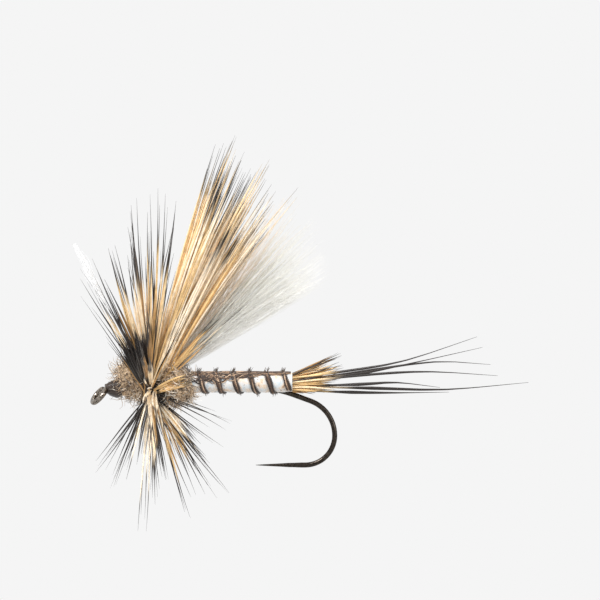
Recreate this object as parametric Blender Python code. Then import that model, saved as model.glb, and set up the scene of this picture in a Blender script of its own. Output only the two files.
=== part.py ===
"""A hair-winged dry fly on a long-shank hook, piece by piece, in the order it is tied.

Frame: the origin is the centre of the hook's eye. +X runs along the shank to the tail,
+Z runs up through the wing and +Y is the side away from the viewer.
Sizes below are in millimetres. Everything is built at its real size and scaled once.
"""

import itertools
import math

import bmesh
import bpy
from mathutils import Vector

MM = 0.001

# ---- Fits ----
CLEARANCE = 0.03  # between any two pieces that touch

# ---- Hook ----
WIRE_DIAMETER = 0.42
EYE_HOLE_DIAMETER = 1.08
EYE_DROP = math.radians(48)  # the eye hangs this far below the shank's line
EYE_TWIST = math.radians(17)  # and is turned this far, so that its hole shows from the side
EYE_OPENING = math.radians(34)  # from the wire's free end to the shank, round the eye
SHANK_RISE = 0.58  # the shank's axis above the centre of the eye
DROOP_LEAD = 2.9  # how much of the abdomen lies behind the straight shank
DROOP_RADIUS = 8.6
DROOP_TURN = math.radians(20)
HEEL_LENGTH = 1.5
UPPER_BEND_RADIUS = 2.95
LOWER_BEND_RADIUS = 2.36
SPEAR_LENGTH = 3.95
POINT_TAPER = 3.6
POINT_DIAMETER = 0.03
BARB_FROM_POINT = 2.5
BARB_LENGTH = 0.5
BARB_SWELL = 0.16  # the pressed-down barb stands this share proud of the wire

# ---- Lengths along the shank, from the front ----
HEAD_START = 0.74
HEAD_LENGTH = 0.76
NECK_LENGTH = 0.26  # bare wire between the eye and the first turn of thread
FRONT_DUBBING_LENGTH = 2.22
HACKLE_WRAPS_LENGTH = 0.70
WING_WRAPS_LENGTH = 0.57
REAR_DUBBING_LENGTH = 2.2
ABDOMEN_LENGTH = 8.1

# ---- Radii about the shank ----
THREAD_THICKNESS = 0.06
HEAD_RADIUS = 0.56
FRONT_DUBBING_RADIUS = 1.25
COLLAR_WALL = 0.40
REAR_DUBBING_RADIUS = 1.58

# ---- Abdomen ----
FLOSS_RADIUS = 0.78
FLOSS_UNDER = 0.02  # the floss under the bound shank
STRIP_THICKNESS = 0.05
STRIP_HALF_ANGLE_FRONT = math.radians(62)
STRIP_HALF_ANGLE_REAR = math.radians(16)
RIB_PITCH = 1.35
RIB_START_ANGLE = math.radians(65)  # round from straight up, towards the far side
RIB_WIDTH = 0.36
RIB_THICKNESS = 0.11
RIB_END_MARGIN = 0.12

# ---- Tail ----
TAIL_FLOSS_BELOW = 0.06  # between the tail's butts and the bound shank
TAIL_FLOSS_ABOVE = 0.16
TAIL_BUTT_LENGTH = 5.6
TAIL_TIE_LENGTH = 1.0
TAIL_TIE_FROM_END = 1.8
TAIL_LOCK_LENGTH = 4.0
TAIL_FIBRE_DIAMETER = 0.17
TAIL_FIBRE_LENGTH = 18.9

# ---- Wing and hackle ----
WING_LENGTH = 19.9
PLUME_LENGTH = 16.6
HACKLE_LENGTH = 15.2

# ---- Facets ----
WIRE_SIDES = 16
TURN_STEPS = 24
LOCK_SIDES = 6

# ---- Stations and radii that follow from the sizes above ----
WIRE_RADIUS = WIRE_DIAMETER / 2
EYE_RADIUS = EYE_HOLE_DIAMETER / 2 + WIRE_RADIUS
THREAD_INNER = WIRE_RADIUS + CLEARANCE
THREAD_OUTER = THREAD_INNER + THREAD_THICKNESS
SLEEVE_INNER = THREAD_OUTER + CLEARANCE
COLLAR_OUTER = SLEEVE_INNER + COLLAR_WALL
HAIR_ROOT_RADIUS = COLLAR_OUTER + CLEARANCE

HEAD_END = HEAD_START + HEAD_LENGTH
FRONT_DUBBING_START = HEAD_END + CLEARANCE
FRONT_DUBBING_END = FRONT_DUBBING_START + FRONT_DUBBING_LENGTH
HACKLE_WRAPS_START = FRONT_DUBBING_END + CLEARANCE
HACKLE_WRAPS_END = HACKLE_WRAPS_START + HACKLE_WRAPS_LENGTH
WING_WRAPS_START = HACKLE_WRAPS_END + CLEARANCE
WING_WRAPS_END = WING_WRAPS_START + WING_WRAPS_LENGTH
REAR_DUBBING_START = WING_WRAPS_END + CLEARANCE
REAR_DUBBING_END = REAR_DUBBING_START + REAR_DUBBING_LENGTH
ABDOMEN_START = REAR_DUBBING_END + CLEARANCE
ABDOMEN_END = ABDOMEN_START + ABDOMEN_LENGTH
DROOP_START = ABDOMEN_END - DROOP_LEAD

ABDOMEN_RISE = FLOSS_RADIUS - SLEEVE_INNER - FLOSS_UNDER  # its axis above the shank's
STRIP_INNER = FLOSS_RADIUS + CLEARANCE
STRIP_OUTER = STRIP_INNER + STRIP_THICKNESS
TAIL_TIE_CHANNEL = ABDOMEN_RISE - (TAIL_FLOSS_BELOW + TAIL_FLOSS_ABOVE - FLOSS_UNDER) / 2
TAIL_TIE_OUTER = TAIL_TIE_CHANNEL - CLEARANCE
TAIL_CHANNEL_RADIUS = TAIL_TIE_OUTER - THREAD_THICKNESS
TAIL_BUTT_RADIUS = TAIL_CHANNEL_RADIUS - CLEARANCE
TAIL_RISE = SLEEVE_INNER + TAIL_FLOSS_BELOW + TAIL_TIE_CHANNEL  # the butts lie on the shank
TAIL_TIE_END = ABDOMEN_END - TAIL_TIE_FROM_END
TAIL_TIE_START = TAIL_TIE_END - TAIL_TIE_LENGTH
TAIL_START = ABDOMEN_END + CLEARANCE

STEEL = ("black_nickel_steel", (0.012, 0.010, 0.009), 0.22, 1.0)
THREAD = ("brown_tying_thread", (0.055, 0.028, 0.014), 0.55, 0.0)
FUR = ("hare_fur_dubbing", (0.36, 0.25, 0.16), 0.9, 0.0)
FLOSS = ("pale_floss", (0.78, 0.75, 0.72), 0.6, 0.0)
QUILL = ("brown_quill", (0.085, 0.047, 0.026), 0.6, 0.0)
DEER_HAIR = ("golden_deer_hair", (0.56, 0.36, 0.15), 0.55, 0.0)
DARK_HAIR = ("dark_deer_hair", (0.032, 0.023, 0.018), 0.5, 0.0)
DOWN = ("pale_down", (0.76, 0.75, 0.68), 0.85, 0.0)


def material(finish):
    """The Principled material for one of the finishes above, made once."""
    name, colour, roughness, metallic = finish
    if name in bpy.data.materials:
        return bpy.data.materials[name]
    made = bpy.data.materials.new(name)
    made.use_nodes = True
    shader = made.node_tree.nodes["Principled BSDF"]
    shader.inputs["Base Color"].default_value = (*colour, 1.0)
    shader.inputs["Roughness"].default_value = roughness
    shader.inputs["Metallic"].default_value = metallic
    made.diffuse_color = (*colour, 1.0)
    return made


def add_piece(name, bm, finish, parent):
    """Turns a bmesh in millimetres into a named object in metres under parent."""
    bmesh.ops.scale(bm, vec=(MM, MM, MM), verts=bm.verts)
    bmesh.ops.recalc_face_normals(bm, faces=bm.faces)
    mesh = bpy.data.meshes.new(name)
    bm.to_mesh(mesh)
    bm.free()
    mesh.materials.append(material(finish))
    mesh.shade_smooth()
    mesh.set_sharp_from_angle(angle=math.radians(40))
    piece = bpy.data.objects.new(name, mesh)
    bpy.context.collection.objects.link(piece)
    piece.parent = parent
    return piece


def add_axis(name, rise):
    """An empty on a line parallel to the shank, rise above the centre of the eye."""
    axis = bpy.data.objects.new(name, None)
    axis.location = (0.0, 0.0, rise * MM)
    bpy.context.collection.objects.link(axis)
    return axis


def loft(rings, closed=False):
    """A bmesh skinned over rings of equal count: closed on itself, or capped at both ends."""
    bm = bmesh.new()
    loops = [[bm.verts.new(point) for point in ring] for ring in rings]
    pairs = list(zip(loops, loops[1:]))
    if closed:
        pairs.append((loops[-1], loops[0]))
    count = len(loops[0])
    for first, second in pairs:
        for i in range(count):
            j = (i + 1) % count
            bm.faces.new((first[i], first[j], second[j], second[i]))
    if not closed:
        bm.faces.new(loops[0])
        bm.faces.new(reversed(loops[-1]))
    return bm


def turned(profile, steps=TURN_STEPS):
    """Turns a closed outline of (x, radius) points about the X axis."""
    rings = []
    for step in range(steps):
        angle = 2 * math.pi * step / steps
        rings.append([Vector((x, r * math.sin(angle), r * math.cos(angle))) for x, r in profile])
    return loft(rings, closed=True)


def sleeve(start, end, inner, outer):
    """The outline of a plain sleeve for turned()."""
    return [(start, inner), (end, inner), (end, outer), (start, outer)]


def directions(path):
    """The unit tangent at each point of a path."""
    tangents = []
    for i in range(len(path)):
        ahead = path[min(i + 1, len(path) - 1)]
        behind = path[max(i - 1, 0)]
        tangents.append((ahead - behind).normalized())
    return tangents


def swept_rings(path, wide, thin, sides, across=None, seat=None):
    """Elliptical rings square to a path. wide is the half-width along the across direction and
    thin is the half-width square to it. With no across, a direction is carried along the path
    without twist. seat is the way that the first ring faces, where it sits flat on something."""
    tangents = directions(path)
    tangents[0] = seat or tangents[0]
    side = tangents[0].orthogonal()
    rings = []
    for i, (point, tangent) in enumerate(zip(path, tangents)):
        side = across or side
        side = (side - tangent * side.dot(tangent)).normalized()
        other = tangent.cross(side)
        ring = []
        for k in range(sides):
            angle = 2 * math.pi * k / sides
            ring.append(point + side * (wide[i] * math.cos(angle)) + other * (thin[i] * math.sin(angle)))
        rings.append(ring)
    return rings


def radial(phi):
    """The direction away from the shank, phi round from straight up towards +Y."""
    return Vector((0.0, math.sin(phi), math.cos(phi)))


def smooth_path(points, count):
    """A Catmull-Rom curve through points, with count points spread evenly over its spans."""
    last = len(points) - 1
    path = []
    for k in range(count):
        place = k * last / (count - 1)
        i = min(int(place), last - 1)
        t = place - i
        b = points[i]
        c = points[i + 1]
        a = points[i - 1] if i > 0 else b * 2 - c
        d = points[i + 2] if i + 2 <= last else c * 2 - b
        path.append(
            b
            + (c - a) * (0.5 * t)
            + (a * 2 - b * 5 + c * 4 - d) * (0.5 * t * t)
            + (b * 3 - a - c * 3 + d) * (0.5 * t * t * t)
        )
    return path


# ---- The hook ----


def arc_points(start, heading, radius, turn, count):
    """Points along an arc in the XZ plane that turns down and back, without its first point."""
    points = []
    for k in range(1, count + 1):
        angle = heading + turn * k / count
        x = start.x + radius * (math.sin(angle) - math.sin(heading))
        z = start.z + radius * (math.cos(angle) - math.cos(heading))
        points.append(Vector((x, 0.0, z)))
    return points


def ahead_of(start, heading, length):
    """The point length further on, heading that far below +X."""
    return start + Vector((math.cos(heading), 0.0, -math.sin(heading))) * length


def rear_path():
    """The wire's centre line behind the straight shank, from the droop to the point."""
    path = [Vector((DROOP_START, 0.0, SHANK_RISE))]
    path += arc_points(path[-1], 0.0, DROOP_RADIUS, DROOP_TURN, 7)
    path.append(ahead_of(path[-1], DROOP_TURN, HEEL_LENGTH / 2))
    path.append(ahead_of(path[-1], DROOP_TURN, HEEL_LENGTH / 2))
    path += arc_points(path[-1], DROOP_TURN, UPPER_BEND_RADIUS, math.pi / 2 - DROOP_TURN, 12)
    path += arc_points(path[-1], math.pi / 2, LOWER_BEND_RADIUS, math.pi / 2, 14)
    step = SPEAR_LENGTH / 12
    path += [ahead_of(path[-1], math.pi, step * k) for k in range(1, 13)]
    return path


def eye_path():
    """The wire's centre line from its free end round the eye to the front of the shank."""
    along = Vector((math.cos(EYE_DROP), 0.0, math.sin(EYE_DROP)))
    up = Vector((-math.sin(EYE_DROP), 0.0, math.cos(EYE_DROP)))
    across = Vector((0.0, 1.0, 0.0)) * math.cos(EYE_TWIST) + up * math.sin(EYE_TWIST)
    path = []
    turns = 36
    sweep = 2 * math.pi - EYE_OPENING - math.radians(14)
    for k in range(turns + 1):
        angle = EYE_OPENING + sweep * k / turns
        path.append((along * math.cos(angle) + across * math.sin(angle)) * EYE_RADIUS)
    neck = [path[-2], path[-1], Vector((HEAD_START + 0.22, 0.0, SHANK_RISE))]
    neck.append(Vector((HEAD_START + 0.6, 0.0, SHANK_RISE)))
    path += smooth_path(neck, 10)[4:]
    return path


def wire_radii(path):
    """The wire's radius along its path: a worn free end, a pressed-down barb and a needle point."""
    to_point = [0.0]
    for a, b in zip(reversed(path[:-1]), reversed(path[1:])):
        to_point.append(to_point[-1] + (b - a).length)
    radii = []
    for distance in reversed(to_point):
        share = min(1.0, distance / POINT_TAPER)
        radius = POINT_DIAMETER / 2 + (WIRE_RADIUS - POINT_DIAMETER / 2) * share**0.8
        off_barb = abs(distance - BARB_FROM_POINT) / (BARB_LENGTH / 2)
        if off_barb < 1:
            radius *= 1 + BARB_SWELL * (1 - off_barb)
        radii.append(radius)
    radii[0] = WIRE_RADIUS * 0.62
    radii[1] = WIRE_RADIUS * 0.86
    return radii


def build_hook(parent):
    path = eye_path()
    path.append(Vector((ABDOMEN_START, 0.0, SHANK_RISE)))
    path += rear_path()
    radii = wire_radii(path)
    add_piece("hook", loft(swept_rings(path, radii, radii, WIRE_SIDES)), STEEL, parent)


# ---- Thread, fur and collars round the shank ----


def build_shank_windings(shank):
    neck_end = HEAD_START + NECK_LENGTH
    thread = sleeve(neck_end - 0.01, DROOP_START, THREAD_INNER, THREAD_OUTER)
    add_piece("thread_base", turned(thread, 16), THREAD, shank)

    nose = SLEEVE_INNER + 0.06
    head = [
        (neck_end, SLEEVE_INNER),
        (HEAD_END, SLEEVE_INNER),
        (HEAD_END, HEAD_RADIUS),
        (HEAD_START + HEAD_LENGTH * 0.72, HEAD_RADIUS),
        (HEAD_START + HEAD_LENGTH * 0.5, (HEAD_RADIUS + nose) / 2),
        (neck_end, nose),
    ]
    add_piece("head_thread", turned(head), THREAD, shank)

    start = FRONT_DUBBING_START
    length = FRONT_DUBBING_LENGTH
    front = [
        (start, SLEEVE_INNER),
        (start + length, SLEEVE_INNER),
        (start + length, SLEEVE_INNER + 0.14),
        (start + length * 0.68, FRONT_DUBBING_RADIUS),
        (start + length * 0.45, FRONT_DUBBING_RADIUS * 0.97),
        (start + length * 0.18, FRONT_DUBBING_RADIUS * 0.74),
        (start, HEAD_RADIUS + 0.06),
    ]
    add_piece("thorax_dubbing_front", turned(front), FUR, shank)

    hackle_wraps = sleeve(HACKLE_WRAPS_START, HACKLE_WRAPS_END, SLEEVE_INNER, COLLAR_OUTER)
    add_piece("hackle_wraps", turned(hackle_wraps), THREAD, shank)
    wing_wraps = sleeve(WING_WRAPS_START, WING_WRAPS_END, SLEEVE_INNER, COLLAR_OUTER)
    add_piece("wing_wraps", turned(wing_wraps), THREAD, shank)

    start = REAR_DUBBING_START
    length = REAR_DUBBING_LENGTH
    rear = [
        (start, SLEEVE_INNER),
        (start + length, SLEEVE_INNER),
        (start + length, REAR_DUBBING_RADIUS * 0.74),
        (start + length * 0.84, REAR_DUBBING_RADIUS * 0.95),
        (start + length * 0.66, REAR_DUBBING_RADIUS),
        (start + length * 0.4, REAR_DUBBING_RADIUS * 0.78),
        (start, SLEEVE_INNER + 0.07),
    ]
    add_piece("thorax_dubbing_rear", turned(rear), FUR, shank)


# ---- The abdomen ----


def add_cutter(name, bm, target, parent):
    """Cuts a closed shape out of target, and hides the cutter."""
    cutter = add_piece(name, bm, FLOSS, parent)
    cutter.hide_render = True
    cutter.display_type = "WIRE"
    cut = target.modifiers.new(name, "BOOLEAN")
    cut.operation = "DIFFERENCE"
    cut.solver = "EXACT"
    cut.object = cutter


def solid_rod(start, end, radius, rise=0.0, sides=16):
    """A capped rod along X, rise above its parent's axis."""
    path = [Vector((start, 0.0, rise)), Vector((end, 0.0, rise))]
    return loft(swept_rings(path, [radius] * 2, [radius] * 2, sides, Vector((0.0, 1.0, 0.0))))


def strip_half_angle(x):
    """How far the back strip reaches round the abdomen on each side at x."""
    share = (x - ABDOMEN_START) / ABDOMEN_LENGTH
    narrowing = max(0.0, min(1.0, (share - 0.45) / 0.3))
    return STRIP_HALF_ANGLE_FRONT + (STRIP_HALF_ANGLE_REAR - STRIP_HALF_ANGLE_FRONT) * narrowing


def build_floss(eye, shank, abdomen):
    """The pale body, with channels for the bound shank, the drooping wire and the tail butts."""
    barrel = [
        (ABDOMEN_START, FLOSS_RADIUS * 0.96),
        (ABDOMEN_START + 0.4, FLOSS_RADIUS),
        (ABDOMEN_END - 0.3, FLOSS_RADIUS),
        (ABDOMEN_END, FLOSS_RADIUS * 0.94),
    ]
    path = [Vector((x, 0.0, 0.0)) for x, r in barrel]
    radii = [r for x, r in barrel]
    rings = swept_rings(path, radii, radii, TURN_STEPS, Vector((0.0, 1.0, 0.0)))
    floss = add_piece("abdomen_floss", loft(rings), FLOSS, abdomen)

    bound = solid_rod(ABDOMEN_START - 0.5, DROOP_START + CLEARANCE, SLEEVE_INNER)
    add_cutter("cut_bound_shank", bound, floss, shank)

    bare = [Vector((DROOP_START - 0.3, 0.0, SHANK_RISE))]
    bare += itertools.takewhile(lambda point: point.x < ABDOMEN_END + HEEL_LENGTH, rear_path())
    radii = [THREAD_INNER] * len(bare)
    add_cutter("cut_bare_wire", loft(swept_rings(bare, radii, radii, 16)), floss, eye)

    first = ABDOMEN_END - TAIL_BUTT_LENGTH - CLEARANCE
    narrow = solid_rod(first, ABDOMEN_END + 0.5, TAIL_CHANNEL_RADIUS, TAIL_RISE)
    add_cutter("cut_tail_butts", narrow, floss, shank)
    wide = solid_rod(TAIL_TIE_START - CLEARANCE, ABDOMEN_END + 0.4, TAIL_TIE_CHANNEL, TAIL_RISE)
    add_cutter("cut_tail_tie", wide, floss, shank)


def build_back_strip(abdomen):
    """A strip of brown fibres over the back, wide in front and narrow behind."""
    rings = []
    stations = 9
    across = 9
    start = ABDOMEN_START + RIB_END_MARGIN
    end = ABDOMEN_END - RIB_END_MARGIN
    for s in range(stations):
        x = start + (end - start) * s / (stations - 1)
        half = strip_half_angle(x)
        angles = [half * (2 * k / (across - 1) - 1) for k in range(across)]
        ring = [Vector((x, 0.0, 0.0)) + radial(angle) * STRIP_OUTER for angle in angles]
        ring += [Vector((x, 0.0, 0.0)) + radial(angle) * STRIP_INNER for angle in reversed(angles)]
        rings.append(ring)
    add_piece("back_strip", loft(rings), QUILL, abdomen)


def wire_depth(x):
    """How far the wire's centre lies below the abdomen's axis at x."""
    drooped = max(0.0, x - DROOP_START)
    return ABDOMEN_RISE + DROOP_RADIUS - math.sqrt(DROOP_RADIUS**2 - drooped**2)


def rib_inner_radius(x, phi):
    """The rib lies on the strip over the back and on the floss below it, and its last turns
    take in the wire where that leaves the underside."""
    off_top = abs(math.remainder(phi, 2 * math.pi))
    over_strip = STRIP_OUTER + CLEARANCE
    on_floss = FLOSS_RADIUS + CLEARANCE
    edge = STRIP_HALF_ANGLE_FRONT + math.radians(14)
    share = max(0.0, min(1.0, (off_top - edge) / math.radians(28)))
    under_wire = -wire_depth(x) * math.cos(off_top) + THREAD_INNER + CLEARANCE
    return max(over_strip + (on_floss - over_strip) * share, under_wire)


def build_rib(abdomen):
    """One quill wound back over the abdomen in open turns."""
    start = ABDOMEN_START + RIB_END_MARGIN + RIB_WIDTH / 2
    end = ABDOMEN_END - RIB_END_MARGIN - RIB_WIDTH / 2
    turns = (end - start) / RIB_PITCH
    steps = int(turns * TURN_STEPS * 0.75)
    rings = []
    for step in range(steps + 1):
        share = step / steps
        phi = RIB_START_ANGLE - 2 * math.pi * turns * share
        x = start + (end - start) * share
        inner = rib_inner_radius(x + RIB_WIDTH / 2, phi)
        outer = inner + RIB_THICKNESS
        half = RIB_WIDTH / 2
        away = radial(phi)
        ring = [
            Vector((x - half, 0.0, 0.0)) + away * inner,
            Vector((x + half, 0.0, 0.0)) + away * inner,
            Vector((x + half * 0.6, 0.0, 0.0)) + away * outer,
            Vector((x - half * 0.6, 0.0, 0.0)) + away * outer,
        ]
        rings.append(ring)
    add_piece("rib_quill", loft(rings), QUILL, abdomen)


# ---- Hair ----

LOCK_SPANS = (0.0, 0.16, 0.4, 0.68, 0.88, 1.0)
LOCK_SWELLS = (0.0, 0.42, 0.85, 1.0, 0.62, 0.0)


def lock_path(root, leaving, tip, bow):
    """A bent line from root to tip that leaves along leaving for a share, bow, of its length."""
    knee = root + leaving * (tip - root).length * bow
    return [root.lerp(knee, t).lerp(knee.lerp(tip, t), t) for t in LOCK_SPANS]


def hair_lock(name, path, across, seat, root_size, full_size, finish, parent):
    """A lock of hair: narrow where it is bound, fullest at two thirds and fine at its tips.
    The sizes are half-widths, along across and square to it, and it sits flat facing seat."""
    tip = 0.035
    wide = [root_size[0] + (full_size[0] - root_size[0]) * swell for swell in LOCK_SWELLS]
    thin = [root_size[1] + (full_size[1] - root_size[1]) * swell for swell in LOCK_SWELLS]
    wide[-1] = tip
    thin[-1] = tip
    rings = swept_rings(path, wide, thin, LOCK_SIDES, across, seat)
    add_piece(name, loft(rings), finish, parent)


def collar_root(x, phi):
    """Where a lock leaves the collar of thread at x."""
    return Vector((x, 0.0, 0.0)) + radial(phi) * HAIR_ROOT_RADIUS


# Each lock of a row: degrees round from straight up, degrees of lean back, share of HACKLE_LENGTH.
HACKLE_FRONT = (
    (0, -24, 0.78),
    (45, -26, 0.70),
    (90, -14, 0.58),
    (135, -24, 0.55),
    (180, -30, 0.54),
    (225, -26, 0.56),
    (270, -14, 0.58),
    (315, -28, 0.68),
)
HACKLE_MIDDLE = (
    (22, -3, 1.0),
    (67, -6, 0.68),
    (112, -4, 0.58),
    (157, -6, 0.70),
    (203, -2, 0.71),
    (248, -8, 0.58),
    (293, -4, 0.68),
    (338, 2, 1.0),
)
HACKLE_REAR = (
    (90, 24, 0.56),
    (135, 32, 0.62),
    (180, 22, 0.68),
    (225, 33, 0.64),
    (270, 26, 0.56),
)


def build_hackle(shank):
    """Three rows of hair that stand out all round the collar, the last one only below the wing."""
    rows = (("front", HACKLE_FRONT), ("middle", HACKLE_MIDDLE), ("rear", HACKLE_REAR))
    gap = HACKLE_WRAPS_LENGTH / len(rows)
    for row, (label, locks) in enumerate(rows):
        x = HACKLE_WRAPS_START + gap * (row + 0.5)
        for i, (phi_degrees, lean_degrees, share) in enumerate(locks):
            phi = math.radians(phi_degrees)
            lean = math.radians(lean_degrees)
            leaving = radial(phi) * math.cos(lean) + Vector((math.sin(lean), 0.0, 0.0))
            root = collar_root(x, phi)
            path = lock_path(root, leaving, root + leaving * HACKLE_LENGTH * share, 0.5)
            round_shank = Vector((1.0, 0.0, 0.0)).cross(radial(phi))
            hair_lock(
                f"hackle_{label}_{i + 1}",
                path,
                round_shank,
                radial(phi),
                (0.2, 0.07),
                (0.8, 0.5),
                DARK_HAIR if i % 2 else DEER_HAIR,
                shank,
            )


# Each wing lock: name, share along the wraps, degrees round, tip's pitch in degrees, tip's offset
# to the side as a share of the length, and share of WING_LENGTH.
WING_LOCKS = (
    ("wing_lock_front", 0.14, 0, 75.5, 0.0, 1.0),
    ("wing_lock_middle_near", 0.42, -28, 66.5, -0.10, 0.97),
    ("wing_lock_middle_far", 0.42, 28, 66.5, 0.10, 0.97),
    ("wing_lock_rear_near", 0.78, -48, 56.0, -0.07, 0.85),
    ("wing_lock_rear_far", 0.78, 48, 56.0, 0.07, 0.85),
)
PLUMES = (
    ("down_plume_near", 0.86, -13, 41.0, -0.02, 1.0),
    ("down_plume_far", 0.86, 13, 37.0, 0.02, 0.94),
)


def build_wing(shank):
    """The upright wing of deer hair, and two soft plumes of down behind it."""
    groups = (
        (WING_LOCKS, WING_LENGTH, 9, (0.09, 0.09), (0.72, 0.42), DEER_HAIR),
        (PLUMES, PLUME_LENGTH, 18, (0.07, 0.07), (1.4, 0.2), DOWN),
    )
    for locks, full_length, bend, root_size, full_size, finish in groups:
        for name, place, phi_degrees, pitch_degrees, aside, share in locks:
            phi = math.radians(phi_degrees)
            root = collar_root(WING_WRAPS_START + WING_WRAPS_LENGTH * place, phi)
            pitch = math.radians(pitch_degrees)
            length = full_length * share
            aim = Vector((math.cos(pitch), aside, math.sin(pitch))).normalized()
            steep = math.radians(pitch_degrees + bend)
            leaving = Vector((math.cos(steep), aside, math.sin(steep))).normalized()
            path = lock_path(root, leaving, root + aim * length, 0.3)
            in_plane = Vector((-aim.z, 0.0, aim.x))
            hair_lock(name, path, in_plane, radial(phi), root_size, full_size, finish, shank)


# Each tail lock: name, root (y, z) on the abdomen's rear face as shares of FLOSS_RADIUS, then
# pitch up, yaw to +Y and share of TAIL_LOCK_LENGTH.
TAIL_LOCKS = (
    ("tail_lock_top", (0.0, 0.82), 34, 0, 0.94),
    ("tail_lock_near", (-0.46, 0.54), 20, -18, 1.02),
    ("tail_lock_far", (0.46, 0.54), 23, 18, 0.98),
    ("tail_lock_low_near", (-0.51, -0.26), -2, -16, 0.76),
    ("tail_lock_low_far", (0.51, -0.26), 1, 16, 0.72),
)

# Each long fibre: root (y, z) on the abdomen's rear face as shares of FLOSS_RADIUS, then points
# (x, y, z) along it as shares of TAIL_FIBRE_LENGTH from the root.
TAIL_FIBRES = (
    ((-0.74, 0.51), ((0.23, -0.080, 0.031), (0.47, -0.130, 0.075), (0.77, -0.160, 0.175))),
    ((0.77, 0.44), ((0.23, 0.045, 0.009), (0.47, 0.075, 0.054), (0.81, 0.100, 0.129))),
    ((0.85, 0.05), ((0.25, 0.090, 0.035), (0.60, 0.150, 0.082), (0.85, 0.190, 0.070))),
    ((-0.85, 0.05), ((0.34, -0.085, 0.036), (0.58, -0.105, 0.047), (0.86, -0.100, 0.030))),
    ((-0.15, -0.38), ((0.28, -0.030, 0.009), (0.44, -0.040, 0.017), (0.62, -0.060, -0.003))),
    ((0.15, -0.41), ((0.34, 0.010, -0.007), (0.65, 0.020, -0.013), (1.0, 0.020, 0.017))),
    ((0.0, -0.79), ((0.25, -0.010, -0.008), (0.44, -0.020, -0.010), (0.66, -0.030, -0.007))),
)


def build_tail(shank, abdomen):
    """Golden hair that flares behind the abdomen, long dark fibres, and the butts bound inside."""
    bound = FLOSS_RADIUS * 0.15
    fullest = TAIL_LOCK_LENGTH * 0.08
    butt = [
        Vector((ABDOMEN_END - TAIL_BUTT_LENGTH, 0.0, TAIL_RISE)),
        Vector((TAIL_START, 0.0, TAIL_RISE)),
        Vector((TAIL_START + TAIL_LOCK_LENGTH * 0.35, 0.0, TAIL_RISE + TAIL_LOCK_LENGTH * 0.06)),
        Vector((TAIL_START + TAIL_LOCK_LENGTH * 0.75, 0.0, TAIL_RISE + TAIL_LOCK_LENGTH * 0.17)),
        Vector((TAIL_START + TAIL_LOCK_LENGTH, 0.0, TAIL_RISE + TAIL_LOCK_LENGTH * 0.25)),
    ]
    radii = [TAIL_BUTT_RADIUS, TAIL_BUTT_RADIUS, TAIL_BUTT_RADIUS, TAIL_BUTT_RADIUS, 0.04]
    rings = swept_rings(butt, radii, radii, 10, Vector((0.0, 1.0, 0.0)))
    add_piece("tail_core", loft(rings), DEER_HAIR, shank)

    bm = turned(sleeve(TAIL_TIE_START, TAIL_TIE_END, TAIL_CHANNEL_RADIUS, TAIL_TIE_OUTER), 16)
    bmesh.ops.translate(bm, vec=(0.0, 0.0, TAIL_RISE), verts=bm.verts)
    add_piece("tail_tie_thread", bm, THREAD, shank)

    back = Vector((1.0, 0.0, 0.0))
    for name, (y, z), pitch, yaw, share in TAIL_LOCKS:
        root = Vector((TAIL_START, y * FLOSS_RADIUS, z * FLOSS_RADIUS))
        rise = math.tan(math.radians(pitch))
        aside = math.tan(math.radians(yaw))
        aim = Vector((1.0, aside, rise)).normalized()
        path = lock_path(root, aim, root + aim * TAIL_LOCK_LENGTH * share, 0.5)
        level = Vector((0.0, 1.0, 0.0))
        hair_lock(name, path, level, back, (bound, bound), (fullest, fullest), DEER_HAIR, abdomen)

    for i, ((y, z), reaches) in enumerate(TAIL_FIBRES):
        root = Vector((TAIL_START, y * FLOSS_RADIUS, z * FLOSS_RADIUS))
        points = [root] + [root + Vector(reach) * TAIL_FIBRE_LENGTH for reach in reaches]
        path = smooth_path(points, 10)
        radii = [TAIL_FIBRE_DIAMETER / 2 * (1 - 0.75 * k / 9) for k in range(10)]
        rings = swept_rings(path, radii, radii, LOCK_SIDES, seat=back)
        add_piece(f"tail_fibre_{i + 1}", loft(rings), DARK_HAIR, abdomen)


def main():
    for old in list(bpy.data.objects):
        bpy.data.objects.remove(old, do_unlink=True)
    eye = add_axis("eye_centre", 0.0)
    shank = add_axis("shank_axis", SHANK_RISE)
    abdomen = add_axis("abdomen_axis", SHANK_RISE + ABDOMEN_RISE)
    build_hook(eye)
    build_shank_windings(shank)
    build_floss(eye, shank, abdomen)
    build_back_strip(abdomen)
    build_rib(abdomen)
    build_tail(shank, abdomen)
    build_wing(shank)
    build_hackle(shank)


main()
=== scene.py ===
import functools
import math

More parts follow.
